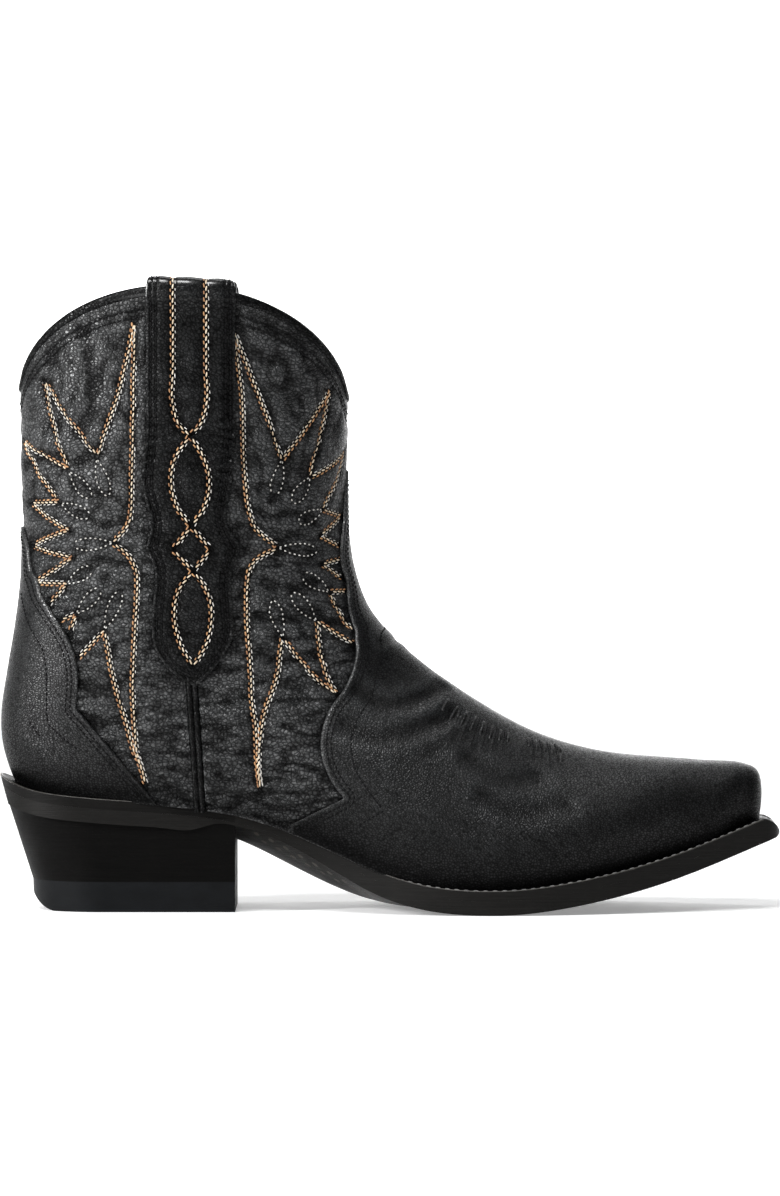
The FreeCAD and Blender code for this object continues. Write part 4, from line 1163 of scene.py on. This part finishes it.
def make_binding(material):
    """The bound edge of the collar, in front of the straps and behind them."""
    columns = np.arange(COLUMNS)
    rings = []
    for drop, rise in BINDING_SECTION:
        rows = collar_rows(drop)
        rings.append(sample(wall / MM, rows, columns) + sample(normals, rows, columns) * rise)
    rings = np.array(rings)
    middle = (STRAP_LEFT + STRAP_RIGHT) / 2
    free = np.abs(rings[0, :, 0] - middle) > (STRAP_RIGHT - STRAP_LEFT) / 2 - 1.5
    places, faces = rings.transpose(1, 0, 2).reshape(-1, 3), []
    count = len(BINDING_SECTION)
    for column in range(COLUMNS):
        after = (column + 1) % COLUMNS
        if free[column] and free[after]:
            for n in range(count):
                m = (n + 1) % count
                faces.append([column * count + n, column * count + m, after * count + m,
                              after * count + n])
        elif free[column] != free[after]:
            end = column if free[column] else after
            faces.append([end * count + n for n in range(count)])
    binding = tidy_mesh(make_mesh("collar_binding_roll", places * MM, faces))
    fit_piece(binding, material, "collar_binding")

# ----------------------------------------------------- welt, toe and footbed

RIM_ENDS = (-108, 118)          # the rim is traced across between these places and round them
RIM_STEP, RIM_FAR = 1.5, 75.0   # the steps of the search inwards, and where it starts
RIM_ALONG, RIM_ROUND, RIM_PLACES = 76, 48, 900
WELT_STITCH_INSIDE, WELT_STITCH_START = 1.7, -10.0
WELT_PITCH, WELT_THREAD, WELT_FILL = 3.6, 0.85, 0.74
BEAD_RADIUS, BEAD_SIDES, BEAD_SUNK = 0.42, 8, 0.35

rim_tree = node_tree("welt", "heel_seat_rand")


def welt_top(place):
    """The welt's or the rand's upper face at a place in the plan, in mm, and its normal."""
    hit, out, _, _ = rim_tree.ray_cast(Vector((place[0], place[1], 150)) * MM, Vector((0, 0, -1)))
    return None if hit is None else (np.array(hit) / MM, np.array(out))


def rim_place(middle, away):
    """The outer edge of the welt on a line from the middle outwards, in the plan."""
    high = RIM_FAR
    while welt_top(middle + away * (high - RIM_STEP)) is None:
        high -= RIM_STEP
    low = high - RIM_STEP
    for _ in range(10):
        half = (low + high) / 2
        if welt_top(middle + away * half) is None:
            high = half
        else:
            low = half
    return middle + away * low


def welt_rim():
    """The rim of welt and rand in the plan: along the outer side, round the toe, back along the
    inner side and round the heel."""
    back, front = RIM_ENDS
    places = []
    for start, end, side, centre in ((back, front, -1, 1.0), (front, back, 1, 0.0)):
        places += [rim_place(np.array([x, 0.0]), np.array([0, side]))
                   for x in np.linspace(start, end, RIM_ALONG)]
        quarter = side * math.pi / 2
        for turn in np.linspace(quarter, quarter + math.pi, RIM_ROUND)[1:-1]:
            away = np.array([math.cos(turn), math.sin(turn)])
            places.append(rim_place(np.array([end, centre]), away))
    return even_line(np.array(places + places[:1]), RIM_PLACES)[:-1]


def inside_rim(rim, inset):
    """The line on the welt that lies inset mm inside its rim, and the normals there."""
    along = unit(np.roll(rim, -2, 0) - np.roll(rim, 2, 0))
    line = rim + inset * np.stack([-along[:, 1], along[:, 0]], 1)
    found = [welt_top(place) for place in line]
    return (np.array([hit[0] for hit in found if hit]), np.array([hit[1] for hit in found if hit]))


def make_rim_highlight_bead(rim, material):
    """A fine ridge along the upper edge of welt and rand, in leather far lighter than the sole's edge:
    a painted highlight.
    """
    line, out = inside_rim(rim, BEAD_RADIUS)
    across = unit(np.cross(unit(np.roll(line, -1, 0) - np.roll(line, 1, 0)), out))
    turns = np.linspace(0, 2 * math.pi, BEAD_SIDES + 1)[:-1]
    rings = np.array([line + BEAD_RADIUS * (across * math.cos(turn)
                                            + out * (math.sin(turn) - BEAD_SUNK))
                      for turn in turns])
    places = rings.transpose(1, 0, 2).reshape(-1, 3) * MM
    count = len(line)
    faces = [[n * BEAD_SIDES + m, n * BEAD_SIDES + (m + 1) % BEAD_SIDES,
              (n + 1) % count * BEAD_SIDES + (m + 1) % BEAD_SIDES, (n + 1) % count * BEAD_SIDES + m]
             for n in range(count) for m in range(BEAD_SIDES)]
    fit_piece(tidy_mesh(make_mesh("welt_rim_highlight_bead", places, faces)), material)


FOOTBED_VOXEL = 1.5 * MM
DENT_SIZE, DENT_DEPTH = 18 * MM, 0.25 * MM


def make_footbed(material):
    """The padded footbed: rounded at its edges, a little dented by wear."""
    made = bpy.data.objects.new("footbed_pad", nodes["footbed"].data.copy())
    bpy.context.scene.collection.objects.link(made)
    remesh = made.modifiers.new("remesh", "REMESH")
    remesh.mode = "VOXEL"
    remesh.voxel_size = FOOTBED_VOXEL
    smooth = made.modifiers.new("smooth", "SMOOTH")
    smooth.factor, smooth.iterations = 0.5, 5
    shaped = made.evaluated_get(bpy.context.evaluated_depsgraph_get())
    mesh = bpy.data.meshes.new_from_object(shaped)
    made.modifiers.clear()
    made.data = mesh
    for vertex in mesh.vertices:
        vertex.co.z += DENT_DEPTH * noise.noise(vertex.co / DENT_SIZE)
    mesh.polygons.foreach_set("use_smooth", [True] * len(mesh.polygons))
    mesh.materials.clear()
    fit_piece(made, material, "footbed")


# ------------------------------------------------------------------ materials


class Paint:
    """A material and short ways to add nodes to it."""

    def __init__(self, name, roughness=0.5, **sockets):
        self.material = bpy.data.materials.new(name)
        self.material.use_nodes = True
        self.tree = self.material.node_tree
        self.shader = self.tree.nodes["Principled BSDF"]
        self.shader.inputs["Roughness"].default_value = roughness
        for socket, value in sockets.items():
            self.shader.inputs[socket.replace("_", " ")].default_value = value
        self.place = self.tree.nodes.new("ShaderNodeTexCoord").outputs["Object"]
        self.bumps = []

    def add(self, kind, inputs, output=0, **settings):
        node = self.tree.nodes.new(kind)
        for setting, value in settings.items():
            setattr(node, setting, value)
        for socket, value in inputs.items():
            if isinstance(value, bpy.types.NodeSocket):
                self.tree.links.new(value, node.inputs[socket])
            else:
                node.inputs[socket].default_value = value
        return node.outputs[output]

    def stretched(self, stretch):
        """The place, or its pattern, drawn out along the axes."""
        if stretch is None:
            return self.place
        return self.add("ShaderNodeMapping", {"Vector": self.place, "Scale": stretch})

    def noise(self, size, detail=3.0, rough=0.5, stretch=None, distortion=0.0):
        """Noise with a grain of so many mm."""
        return self.add("ShaderNodeTexNoise", {
            "Vector": self.stretched(stretch), "Scale": 1 / (size * MM),
            "Detail": detail, "Roughness": rough, "Distortion": distortion})

    def cells(self, size, stretch=None, feature="F1"):
        """Cells of so many mm."""
        return self.add("ShaderNodeTexVoronoi", {"Vector": self.stretched(stretch),
                                                 "Scale": 1 / (size * MM)}, feature=feature)

    def ramp(self, value, low, high, start=0.0, end=1.0):
        """Goes from start to end as a value goes from low to high."""
        return self.add("ShaderNodeMapRange", {"Value": value, "From Min": low, "From Max": high,
                                               "To Min": start, "To Max": end})

    def calculate(self, operation, first, second):
        return self.add("ShaderNodeMath", {0: first, 1: second}, operation=operation)

    def mark(self, name):
        """The value that a mesh holds at its corners under a name."""
        return self.add("ShaderNodeAttribute", {}, 2, attribute_name=name)

    def height(self):
        """Height above the floor, in metres."""
        return self.add("ShaderNodeSeparateXYZ", {"Vector": self.place}, 2)

    def mix(self, share, first, second):
        node = self.tree.nodes.new("ShaderNodeMix")
        node.data_type = "RGBA"
        for n, value in ((0, share), (6, first), (7, second)):
            if isinstance(value, bpy.types.NodeSocket):
                self.tree.links.new(value, node.inputs[n])
            else:
                node.inputs[n].default_value = value
        return node.outputs[2]

    def bump(self, height, depth):
        """Adds a relief of so many mm over the ones added before."""
        inputs = {"Height": height, "Distance": depth * MM, "Strength": 1.0}
        if self.bumps:
            inputs["Normal"] = self.bumps[-1]
        self.bumps.append(self.add("ShaderNodeBump", inputs))

    def finish(self, colour, roughness=None):
        """Links the colour, the roughness and the relief to the shader."""
        self.tree.links.new(colour, self.shader.inputs["Base Color"])
        if roughness is not None:
            self.tree.links.new(roughness, self.shader.inputs["Roughness"])
        if self.bumps:
            self.tree.links.new(self.bumps[-1], self.shader.inputs["Normal"])
        return self.material


def shade(level, tint):
    """A grey level with a tint."""
    return (level * tint[0], level * tint[1], level * tint[2], 1)


PLAIN, COOL, WARM = (1.0, 1.0, 1.0), (0.92, 1.0, 1.06), (1.06, 1.0, 0.9)
POLISH_RISE = 2.5 * MM          # the rubbed sheen grows over this height


def upper_leather(name, level, roughness, grain, pebble, creases, top=0.0, bottom=1.0, polish=None,
                  specular=0.52):
    """Black grained leather: pebbles with cracks between them, fine pores, level creases that
    deepen from a height of top down to bottom, in metres, and a worn sheen. Above a height of
    polish it is rubbed bright. Its colour is painted darker in hollows and lighter on tops: painted
    shade and painted highlights."""
    paint = Paint(name, Coat_Roughness=0.2, Specular_IOR_Level=specular)
    edges = paint.cells(pebble, (1, 1, 1.25), "DISTANCE_TO_EDGE")
    cracks = paint.ramp(edges, 0.0, 0.26)
    pebbles = paint.cells(pebble * 1.7, (1, 1, 1.4), "SMOOTH_F1")
    pores = paint.noise(0.5, 3, 0.6)
    level_folds = paint.noise(5.0, 4, 0.6, stretch=(1, 1, 3.6), distortion=0.5)
    crumple = paint.noise(6.0, 4, 0.55, distortion=0.6)
    broad = paint.noise(30, 4, 0.55)
    ridge, dark = paint.mark("ridge"), paint.mark("dark")
    depth = paint.ramp(paint.height(), top, bottom, 0.25, 1.0)
    folds = paint.calculate("MULTIPLY", level_folds, depth)
    for pattern, tall in ((folds, creases), (crumple, creases * 0.7), (pebbles, -grain * 0.6),
                          (cracks, grain), (pores, grain * 0.15)):
        paint.bump(pattern, tall)

    # Painted light and shade over the dye: darker in creases, hollows and cracks and where the dark
    # mark holds painted shade; lighter on ridges, crumple tops and pebble tops as painted highlights,
    # and at cut edges partly as wear, partly as a painted highlight. Columns: what each follows,
    # between which values, its share at both, how many times the dye's level it has, and its tint.
    painted_light_and_shade = ((folds, (0.28, 0.5), (0.55, 0), 0.3, PLAIN),
              (crumple, (0.36, 0.5), (0.45, 0), 0.3, PLAIN),
              (crumple, (0.55, 0.72), (0, 0.5), 2.3, COOL),
              (ridge, (-0.1, -0.9), (0, 0.75), 0.2, PLAIN),
              (ridge, (0.1, 0.9), (0, 0.55), 2.6, COOL),
              (dark, (0, 1), (0, 0.85), 0.15, PLAIN),
              (dark, (0, -0.8), (0, 0.5), 2.4, COOL),
              (cracks, (0, 1), (0.85, 0), 0.12, PLAIN),
              (edges, (0.3, 0.5), (0, 0.35), 2.6, COOL))
    colour = paint.mix(paint.ramp(broad, 0.36, 0.68), shade(level * 0.65, COOL),
                       shade(level * 1.3, COOL))
    for pattern, reach, share, times, tint in painted_light_and_shade:
        colour = paint.mix(paint.ramp(pattern, *reach, *share), colour, shade(level * times, tint))
    sheen = paint.calculate("ADD", paint.ramp(broad, 0.3, 0.7, roughness + 0.06, roughness - 0.05),
                            paint.ramp(cracks, 0, 1, 0.2, 0))

    # What the shine follows, between which values, and how much less and more it is there.
    swing = min(1.0, creases)
    shape = 0.3 + 0.7 * swing
    swell = paint.calculate("MULTIPLY", paint.calculate("SUBTRACT", level_folds, 0.5), depth)
    shines = ((ridge, (-0.8, 0.8), 0.5 * shape, 0.6 * shape),
              (crumple, (0.38, 0.62), 0.15 * swing, 0.2 * swing),
              (swell, (-0.13, 0.13), 0.4 * swing, 0.45 * swing),
              (dark, (-1, 0), -1.2, 0))
    shine = paint.calculate("MULTIPLY", paint.ramp(dark, 0, 1, specular, specular * 0.15),
                            paint.ramp(cracks, 0, 1, 0.2, 1.1))
    for pattern, reach, less, more in shines:
        shine = paint.calculate("MULTIPLY", shine, paint.ramp(pattern, *reach, 1 - less, 1 + more))
    paint.tree.links.new(shine, paint.shader.inputs["Specular IOR Level"])
    if polish:
        rubbed = paint.ramp(paint.height(), polish, polish + POLISH_RISE, 0, 0.9)
        paint.tree.links.new(rubbed, paint.shader.inputs["Coat Weight"])
    return paint.finish(colour, sheen)


def thread(name, colour, darker, specular=0.4):
    """Waxed thread with its twist."""
    paint = Paint(name, 0.55, Specular_IOR_Level=specular)
    twist = paint.add("ShaderNodeTexWave", {"Vector": paint.place, "Scale": 900.0,
                                            "Distortion": 3.0, "Detail": 2.0},
                      output=1, bands_direction="DIAGONAL")
    blotch = paint.noise(3.0, 2)
    paint.bump(twist, 0.05)
    return paint.finish(paint.mix(paint.ramp(blotch, 0.35, 0.65), darker, colour))


def edge_leather(name, level, roughness, line_size, specular, tint=WARM):
    """Burnished sole leather seen at its edge, with fine lines along it."""
    paint = Paint(name, Specular_IOR_Level=specular)
    lines = paint.noise(1.1, 4, 0.6, stretch=(0.06, 0.06, line_size))
    scuffs = paint.noise(14, 5, 0.6)
    grit = paint.noise(0.6, 3, 0.6)
    paint.bump(lines, 0.16)
    paint.bump(grit, 0.05)
    colour = paint.mix(paint.ramp(lines, 0.3, 0.7), shade(level * 0.65, tint),
                       shade(level * 1.3, tint))
    colour = paint.mix(paint.ramp(scuffs, 0.55, 0.75, 0, 0.4), colour, shade(level * 2.0, tint))
    return paint.finish(colour, paint.ramp(scuffs, 0.3, 0.75, roughness - 0.06, roughness + 0.12))


RUBBER_TINT = (0.85, 0.98, 1.15)


def cap_rubber(name):
    """Dull black rubber, a little smeared."""
    paint = Paint(name, Specular_IOR_Level=0.1)
    grit = paint.noise(0.5, 4, 0.7)
    smear = paint.noise(12, 4, 0.6, stretch=(1, 1, 2))
    paint.bump(grit, 0.05)
    paint.bump(smear, 0.1)
    colour = paint.mix(paint.ramp(smear, 0.3, 0.7), shade(0.003, RUBBER_TINT),
                       shade(0.006, RUBBER_TINT))
    return paint.finish(colour, paint.ramp(smear, 0.3, 0.7, 0.42, 0.6))


def fibre(name, colour, darker, size, roughness=0.75):
    """Board, cork, cloth, wood or inside leather: a fibrous or speckled matt surface."""
    paint = Paint(name)
    speckle = paint.noise(size, 5, 0.65)
    paint.bump(speckle, 0.12)
    return paint.finish(paint.mix(paint.ramp(speckle, 0.35, 0.65), darker, colour),
                        paint.ramp(speckle, 0.3, 0.7, roughness - 0.08, roughness + 0.08))


def steel(name):
    """Plain brushed steel."""
    paint = Paint(name, Metallic=1.0)
    brushed = paint.noise(1.2, 4, 0.6, stretch=(0.1, 1, 1))
    paint.bump(brushed, 0.02)
    return paint.finish(paint.mix(brushed, (0.42, 0.43, 0.45, 1), (0.62, 0.63, 0.65, 1)),
                        paint.ramp(brushed, 0.3, 0.7, 0.28, 0.42))


def lining_leather(name):
    """Soft dark leather with a nap."""
    paint = Paint(name, Sheen_Weight=0.15)
    nap = paint.noise(0.5, 4, 0.6)
    broad = paint.noise(25, 3)
    paint.bump(paint.cells(0.9), 0.06)
    paint.bump(nap, 0.05)
    return paint.finish(paint.mix(paint.ramp(broad, 0.3, 0.7), shade(0.012, WARM), shade(0.024, WARM)),
                        paint.ramp(nap, 0.3, 0.7, 0.5, 0.66))


# ------------------------------------------------------------------- assembly

shaft_paint = upper_leather("shaft_leather", level=0.010, roughness=0.27, grain=0.17, pebble=1.6,
                            creases=1.5, top=0.19, bottom=0.11)
vamp_paint = upper_leather("vamp_leather", level=0.0085, roughness=0.31, grain=0.075, pebble=1.1,
                           creases=0.2)
strap_paint = upper_leather("strap_leather", level=0.0035, roughness=0.27, grain=0.12, pebble=1.4,
                            creases=0.7, polish=0.2295, specular=0.17)
tan_thread = thread("tan_thread", (0.50, 0.27, 0.12, 1), (0.28, 0.13, 0.06, 1))
cream_thread = thread("cream_thread", (0.76, 0.65, 0.50, 1), (0.50, 0.38, 0.25, 1))
pale_thread = thread("pale_thread", (0.66, 0.65, 0.62, 1), (0.42, 0.40, 0.37, 1))
black_thread = thread("black_thread", (0.004, 0.004, 0.0045, 1), (0.002, 0.002, 0.002, 1), 0.1)
welt_thread = thread("welt_thread", (0.26, 0.26, 0.25, 1), (0.13, 0.13, 0.13, 1))

# Far lighter than the sole's edge: the bead along the welt's top edge is a painted highlight.
rim_highlight_paint = edge_leather("rim_highlight_edge", level=0.05, roughness=0.34, line_size=2.0, specular=0.5)
footbed_paint = fibre("footbed_leather", (0.030, 0.028, 0.026, 1), (0.014, 0.013, 0.012, 1), 1.2, 0.6)

CAD_PAINTS = {
    lining_leather("lining_leather"): ("front_shaft_lining", "back_shaft_lining", "vamp_lining"),
    edge_leather("sole_edge", level=0.0055, roughness=0.42, line_size=3.0, specular=0.12):
        ("outsole", "welt"),
    edge_leather("rand_edge", level=0.0035, roughness=0.45, line_size=3.0, specular=0.09):
        ("heel_seat_rand",),
    edge_leather("stack_edge", level=0.0016, roughness=0.5, line_size=2.2, specular=0.05):
        ("heel_wedge", "heel_lift_1", "heel_lift_2", "heel_lift_3", "heel_lift_4"),
    cap_rubber("cap_rubber"): ("heel_cap",),
    fibre("interlining_cloth", (0.55, 0.53, 0.48, 1), (0.40, 0.38, 0.34, 1), 0.5):
        ("vamp_interlining",),
    fibre("stiffener_board", (0.30, 0.24, 0.17, 1), (0.2, 0.15, 0.1, 1), 1.2):
        ("toe_puff", "heel_stiffener"),
    fibre("insole_leather", (0.48, 0.33, 0.2, 1), (0.36, 0.24, 0.14, 1), 0.8):
        ("insole", "insole_rib", "shank_cover", "seat_filler"),
    fibre("cork", (0.45, 0.28, 0.15, 1), (0.2, 0.11, 0.06, 1), 1.4, 0.85): ("cork_filler",),
    fibre("peg_wood", (0.030, 0.024, 0.018, 1), (0.016, 0.012, 0.009, 1), 0.3, 0.6):
        ("waist_pegs",),
    steel("steel"): ("steel_shank", "heel_cap_nails", "heel_seat_nails"),
}
for paint, names in CAD_PAINTS.items():
    for name in names:
        mesh = nodes[name].data
        mesh.materials.clear()
        mesh.materials.append(paint)

# ---- seam lines
PANEL_UNDER = 8                 # mm that the shaft panels reach under the vamp and the counter
front_field = np.minimum.reduce([shaft["seam"] - SEAM_GAP / 2, shaft["collar"] - PANEL_TOP,
                                 shaft["feather"] + SUNK, PANEL_UNDER - shaft["vamp"]])
back_field = np.minimum.reduce([-shaft["seam"] - SEAM_GAP / 2, shaft["collar"] - PANEL_TOP,
                                shaft["feather"] + SUNK, PANEL_UNDER - shaft["counter"]])
vamp_field = np.minimum(cover["vamp"], cover["feather"] + SUNK)
counter_field = np.minimum(cover["counter"], cover["feather"] + SUNK)

# Black rows: how far inside the edges of the overlays and below the collar's edge, in mm.
OVERLAY_ROWS, OVERLAY_ROWS_CLEAR = (2.2, 3.9), 1.5
COLLAR_ROWS, COLLAR_ROWS_CLEAR = (5.4, 7.2), 0.5
# Fine black rows on the vamp and the counter, in side view mm.
VAMP_ORNAMENT = [[(-4.4, 92.4), (-6.5, 82), (-12.4, 72), (-14.4, 64), (-12.6, 54), (-8.4, 47),
                  (-2.1, 39.0)], [(-2.1, 39.0), (-13.2, 32.6)],
                 [(-4.4, 92.4), (-2.6, 98), (-3.2, 104), (-0.6, 108)]]
COUNTER_ORNAMENT = [[(-139.2, 119.8), (-135.8, 107.9), (-130.6, 98.9), (-129.0, 90), (-128.6, 70.8)],
                    [(-128.6, 70.8), (-116.2, 60.6)], [(-135.8, 71.6), (-131.0, 65.3)]]

cover_black = []
for field, ornament in ((cover["vamp"], VAMP_ORNAMENT), (cover["counter"], COUNTER_ORNAMENT)):
    for inside in OVERLAY_ROWS:
        cover_black += level_lines(field, inside, cover["feather"] - OVERLAY_ROWS_CLEAR)
    cover_black += drawn_lines(find_on_cover, ornament)
collar_black = []
for inside in COLLAR_ROWS:
    collar_black += level_lines(shaft["collar"], inside, -shaft["strap"] - COLLAR_ROWS_CLEAR)

# ---- relief, in mm
gold_far = distances(traces_of(gold_lines, 1), 12)
petal_far = distances(traces_of(petal_lines, 1), 6)
collar_far = distances(traces_of(collar_black, 1), 6)
cover_far = distances(traces_of(cover_black, 2), 8)
cord_lines = [drawn_lines(find_on_cover, [list(cord)]) for cord in TOE_CORDS]
cord_far = distances(traces_of(sum(cord_lines, []), 2), 8)

broad = noise_grid(30, seed=3.1)
middling = noise_grid(11, stretch=(1, 1, 1.6), seed=11.7)
fine = noise_grid(5, stretch=(1, 1, 2.2), seed=23.3)
upright_creases = np.abs(noise_grid(10.5, stretch=(1.5, 1, 0.8), seed=41.0))
level_creases = np.abs(noise_grid(10, stretch=(0.7, 1, 2.0), seed=57.0))
CREASES_START, CREASES_REACH = 170, 60      # level creases grow from this height down
UPRIGHT_DEPTH, UPRIGHT_CAP, LEVEL_DEPTH, LEVEL_CAP = 1.5, 0.45, 1.3, 0.4
# Grooves under the stitches and round the toe's cords: depth and width.
GOLD_GROOVE, PETAL_GROOVE, COLLAR_GROOVE = (0.45, 1.3), (0.22, 0.8), (0.3, 0.9)
COVER_GROOVE, CORD_GROOVE = (0.28, 0.8), (0.22, 2.0)
PILLOW, PILLOW_REACH = 0.35, 4              # the leather stands up between the gold lines
UNDER_BINDING, FREE_OF_BINDING = 2, 6       # below the collar's edge the relief starts and is full
FREE_OF_WELT = 6                            # above the welt the cover's relief is full

lower = np.clip((CREASES_START - skin[1][..., 2]) / CREASES_REACH, 0, 1)
shaft_relief = 0.6 * broad + 0.35 * middling + (0.12 + 0.20 * lower) * fine
shaft_relief += UPRIGHT_DEPTH * (1 - lower) * np.minimum(upright_creases, UPRIGHT_CAP)
shaft_relief += LEVEL_DEPTH * lower * np.minimum(level_creases, LEVEL_CAP)
shaft_relief += fold_relief(find_on_shaft, SHAFT_FOLDS, 1)
shaft_relief += groove(gold_far, *GOLD_GROOVE) + PILLOW * (1 + groove(gold_far, 1, PILLOW_REACH))
shaft_relief += groove(petal_far, *PETAL_GROOVE) + groove(collar_far, *COLLAR_GROOVE)
shaft_relief = np.nan_to_num(shaft_relief - PILLOW)
shaft_relief *= np.clip((shaft["collar"] - UNDER_BINDING) / FREE_OF_BINDING, 0, 1)
shaft_relief = np.nan_to_num(shaft_relief)

cover_relief = 0.30 * broad + 0.10 * middling + groove(cover_far, *COVER_GROOVE)
cover_relief += fold_relief(find_on_cover, VAMP_FOLDS, 2) + groove(cord_far, *CORD_GROOVE)
cover_relief = np.nan_to_num(cover_relief * np.clip(cover["feather"] / FREE_OF_WELT, 0, 1))

# ---- painted shade, darkest by the welt, beside the overlays and under the stitching, as
# strength and reach in mm
SHAFT_WELT_SHADE, COVER_WELT_SHADE = (0.95, 13), (1.25, 15)
STRAP_SHADE, OVERLAY_SHADE = (0.9, 1.8), (0.9, 2.0)
GOLD_SHADE, COLLAR_SHADE, PETAL_SHADE, COVER_SHADE = (0.85, 1.5), (0.6, 0.9), (0.5, 0.8), (0.7, 0.8)


def fading(field, strength, reach):
    """Full inside a field, and fading away from its edge."""
    return strength * np.exp(np.minimum(field, 0) / reach)


shaft_dark = np.nan_to_num(np.maximum.reduce([
    fading(-shaft["feather"], *SHAFT_WELT_SHADE), fading(shaft["strap"], *STRAP_SHADE),
    fading(shaft["vamp"], *OVERLAY_SHADE), fading(shaft["counter"], *OVERLAY_SHADE),
    -groove(gold_far, *GOLD_SHADE), -groove(collar_far, *COLLAR_SHADE),
    -groove(petal_far, *PETAL_SHADE)]))
cover_dark = np.nan_to_num(np.maximum(fading(-cover["feather"], *COVER_WELT_SHADE),
                                      -groove(cover_far, *COVER_SHADE)))

# ---- pieces
# Each gold line is three rows: its thread, how far it lies aside, where its stitches start
# along the pitch, how they lean, and their thickness.
GOLD_ROWS = [(tan_thread, -0.92, 0.0, 0.12, 0.62), (cream_thread, 0.0, 0.45, -0.16, 0.60),
             (pale_thread, 0.90, 0.9, 0.12, 0.44)]
GOLD_FILL = 0.76


def gold_rows(name, traces, pitch):
    """The three rows of every gold line."""
    for n, (material, aside, phase, lean, thick) in enumerate(GOLD_ROWS):
        stitch_mesh(f"{name}_gold_row_{n}", traces, pitch, thick, material, aside, phase, lean,
                    fill=GOLD_FILL)


on_shaft, on_cover = (0, shaft_relief, shaft_dark), (1, cover_relief, cover_dark)
for name, field, shape, paint, slot, node in (
        ("shaft_front_leather", front_field, on_shaft, shaft_paint, "shaft_leather",
         "front_shaft_panel"),
        ("shaft_back_leather", back_field, on_shaft, shaft_paint, "shaft_leather",
         "back_shaft_panel"),
        ("vamp_cover", vamp_field, on_cover, vamp_paint, "vamp_leather", "vamp"),
        ("counter_leather", counter_field, on_cover, vamp_paint, "vamp_leather", "counter_cover")):
    fit_piece(leather_sheet(name, field, *shape), paint, node)

gold_rows("panel", traces_of(gold_lines, 1, shaft_relief), PANEL_PITCH)
stitch_mesh("petal_stitches", traces_of(petal_lines, 1, shaft_relief), PETAL_PITCH, PETAL_THREAD,
            pale_thread, fill=PETAL_FILL)
stitch_mesh("collar_stitches", traces_of(collar_black, 1, shaft_relief), COLLAR_PITCH, BLACK_THREAD,
            black_thread)
stitch_mesh("cover_stitches", traces_of(cover_black, 2, cover_relief), BLACK_PITCH, BLACK_THREAD,
            black_thread)
for side_name in SIDES:
    surface = make_strap(side_name, strap_paint)
    traces = [even_trace(*on_strap(line, *surface)) for line in strap_gold()]
    gold_rows("strap_" + side_name, traces, STRAP_PITCH)
    black = [even_trace(*on_strap(line, *surface)) for line in strap_black()]
    stitch_mesh("strap_black_stitches_" + side_name, black, BLACK_PITCH, BLACK_THREAD, black_thread)
    make_piping(side_name, strap_paint)
make_binding(strap_paint)

for n, (cord, lines) in enumerate(zip(TOE_CORDS, cord_lines)):
    stitch_mesh(f"toe_cord_{n}", traces_of(lines, 2, cover_relief), math.dist(*cord) * CORD_LENGTH,
                CORD_WIDTH, vamp_paint, lift=CORD_SUNK, fill=1.0)
between = []
for cord, follower in zip(TOE_CORDS, TOE_CORDS[1:]):
    if follower[0][0] - cord[0][0] < CORD_GAP:
        middle = [tuple((np.array(a) + b) / 2) for a, b in zip(cord, follower)]
        between += drawn_lines(find_on_cover, [middle])
stitch_mesh("toe_stitches", traces_of(between, 2, cover_relief), TOE_PITCH, TOE_THREAD, black_thread)

rim = welt_rim()
stitch_line, stitch_out = inside_rim(rim, WELT_STITCH_INSIDE)
forepart = stitch_line[:, 0] > WELT_STITCH_START
stitch_mesh("welt_stitches", [even_trace(stitch_line[forepart], stitch_out[forepart])], WELT_PITCH,
            WELT_THREAD, welt_thread, fill=WELT_FILL)
make_rim_highlight_bead(rim, rim_highlight_paint)
make_footbed(footbed_paint)

make_camera()
make_lights()
make_floor()
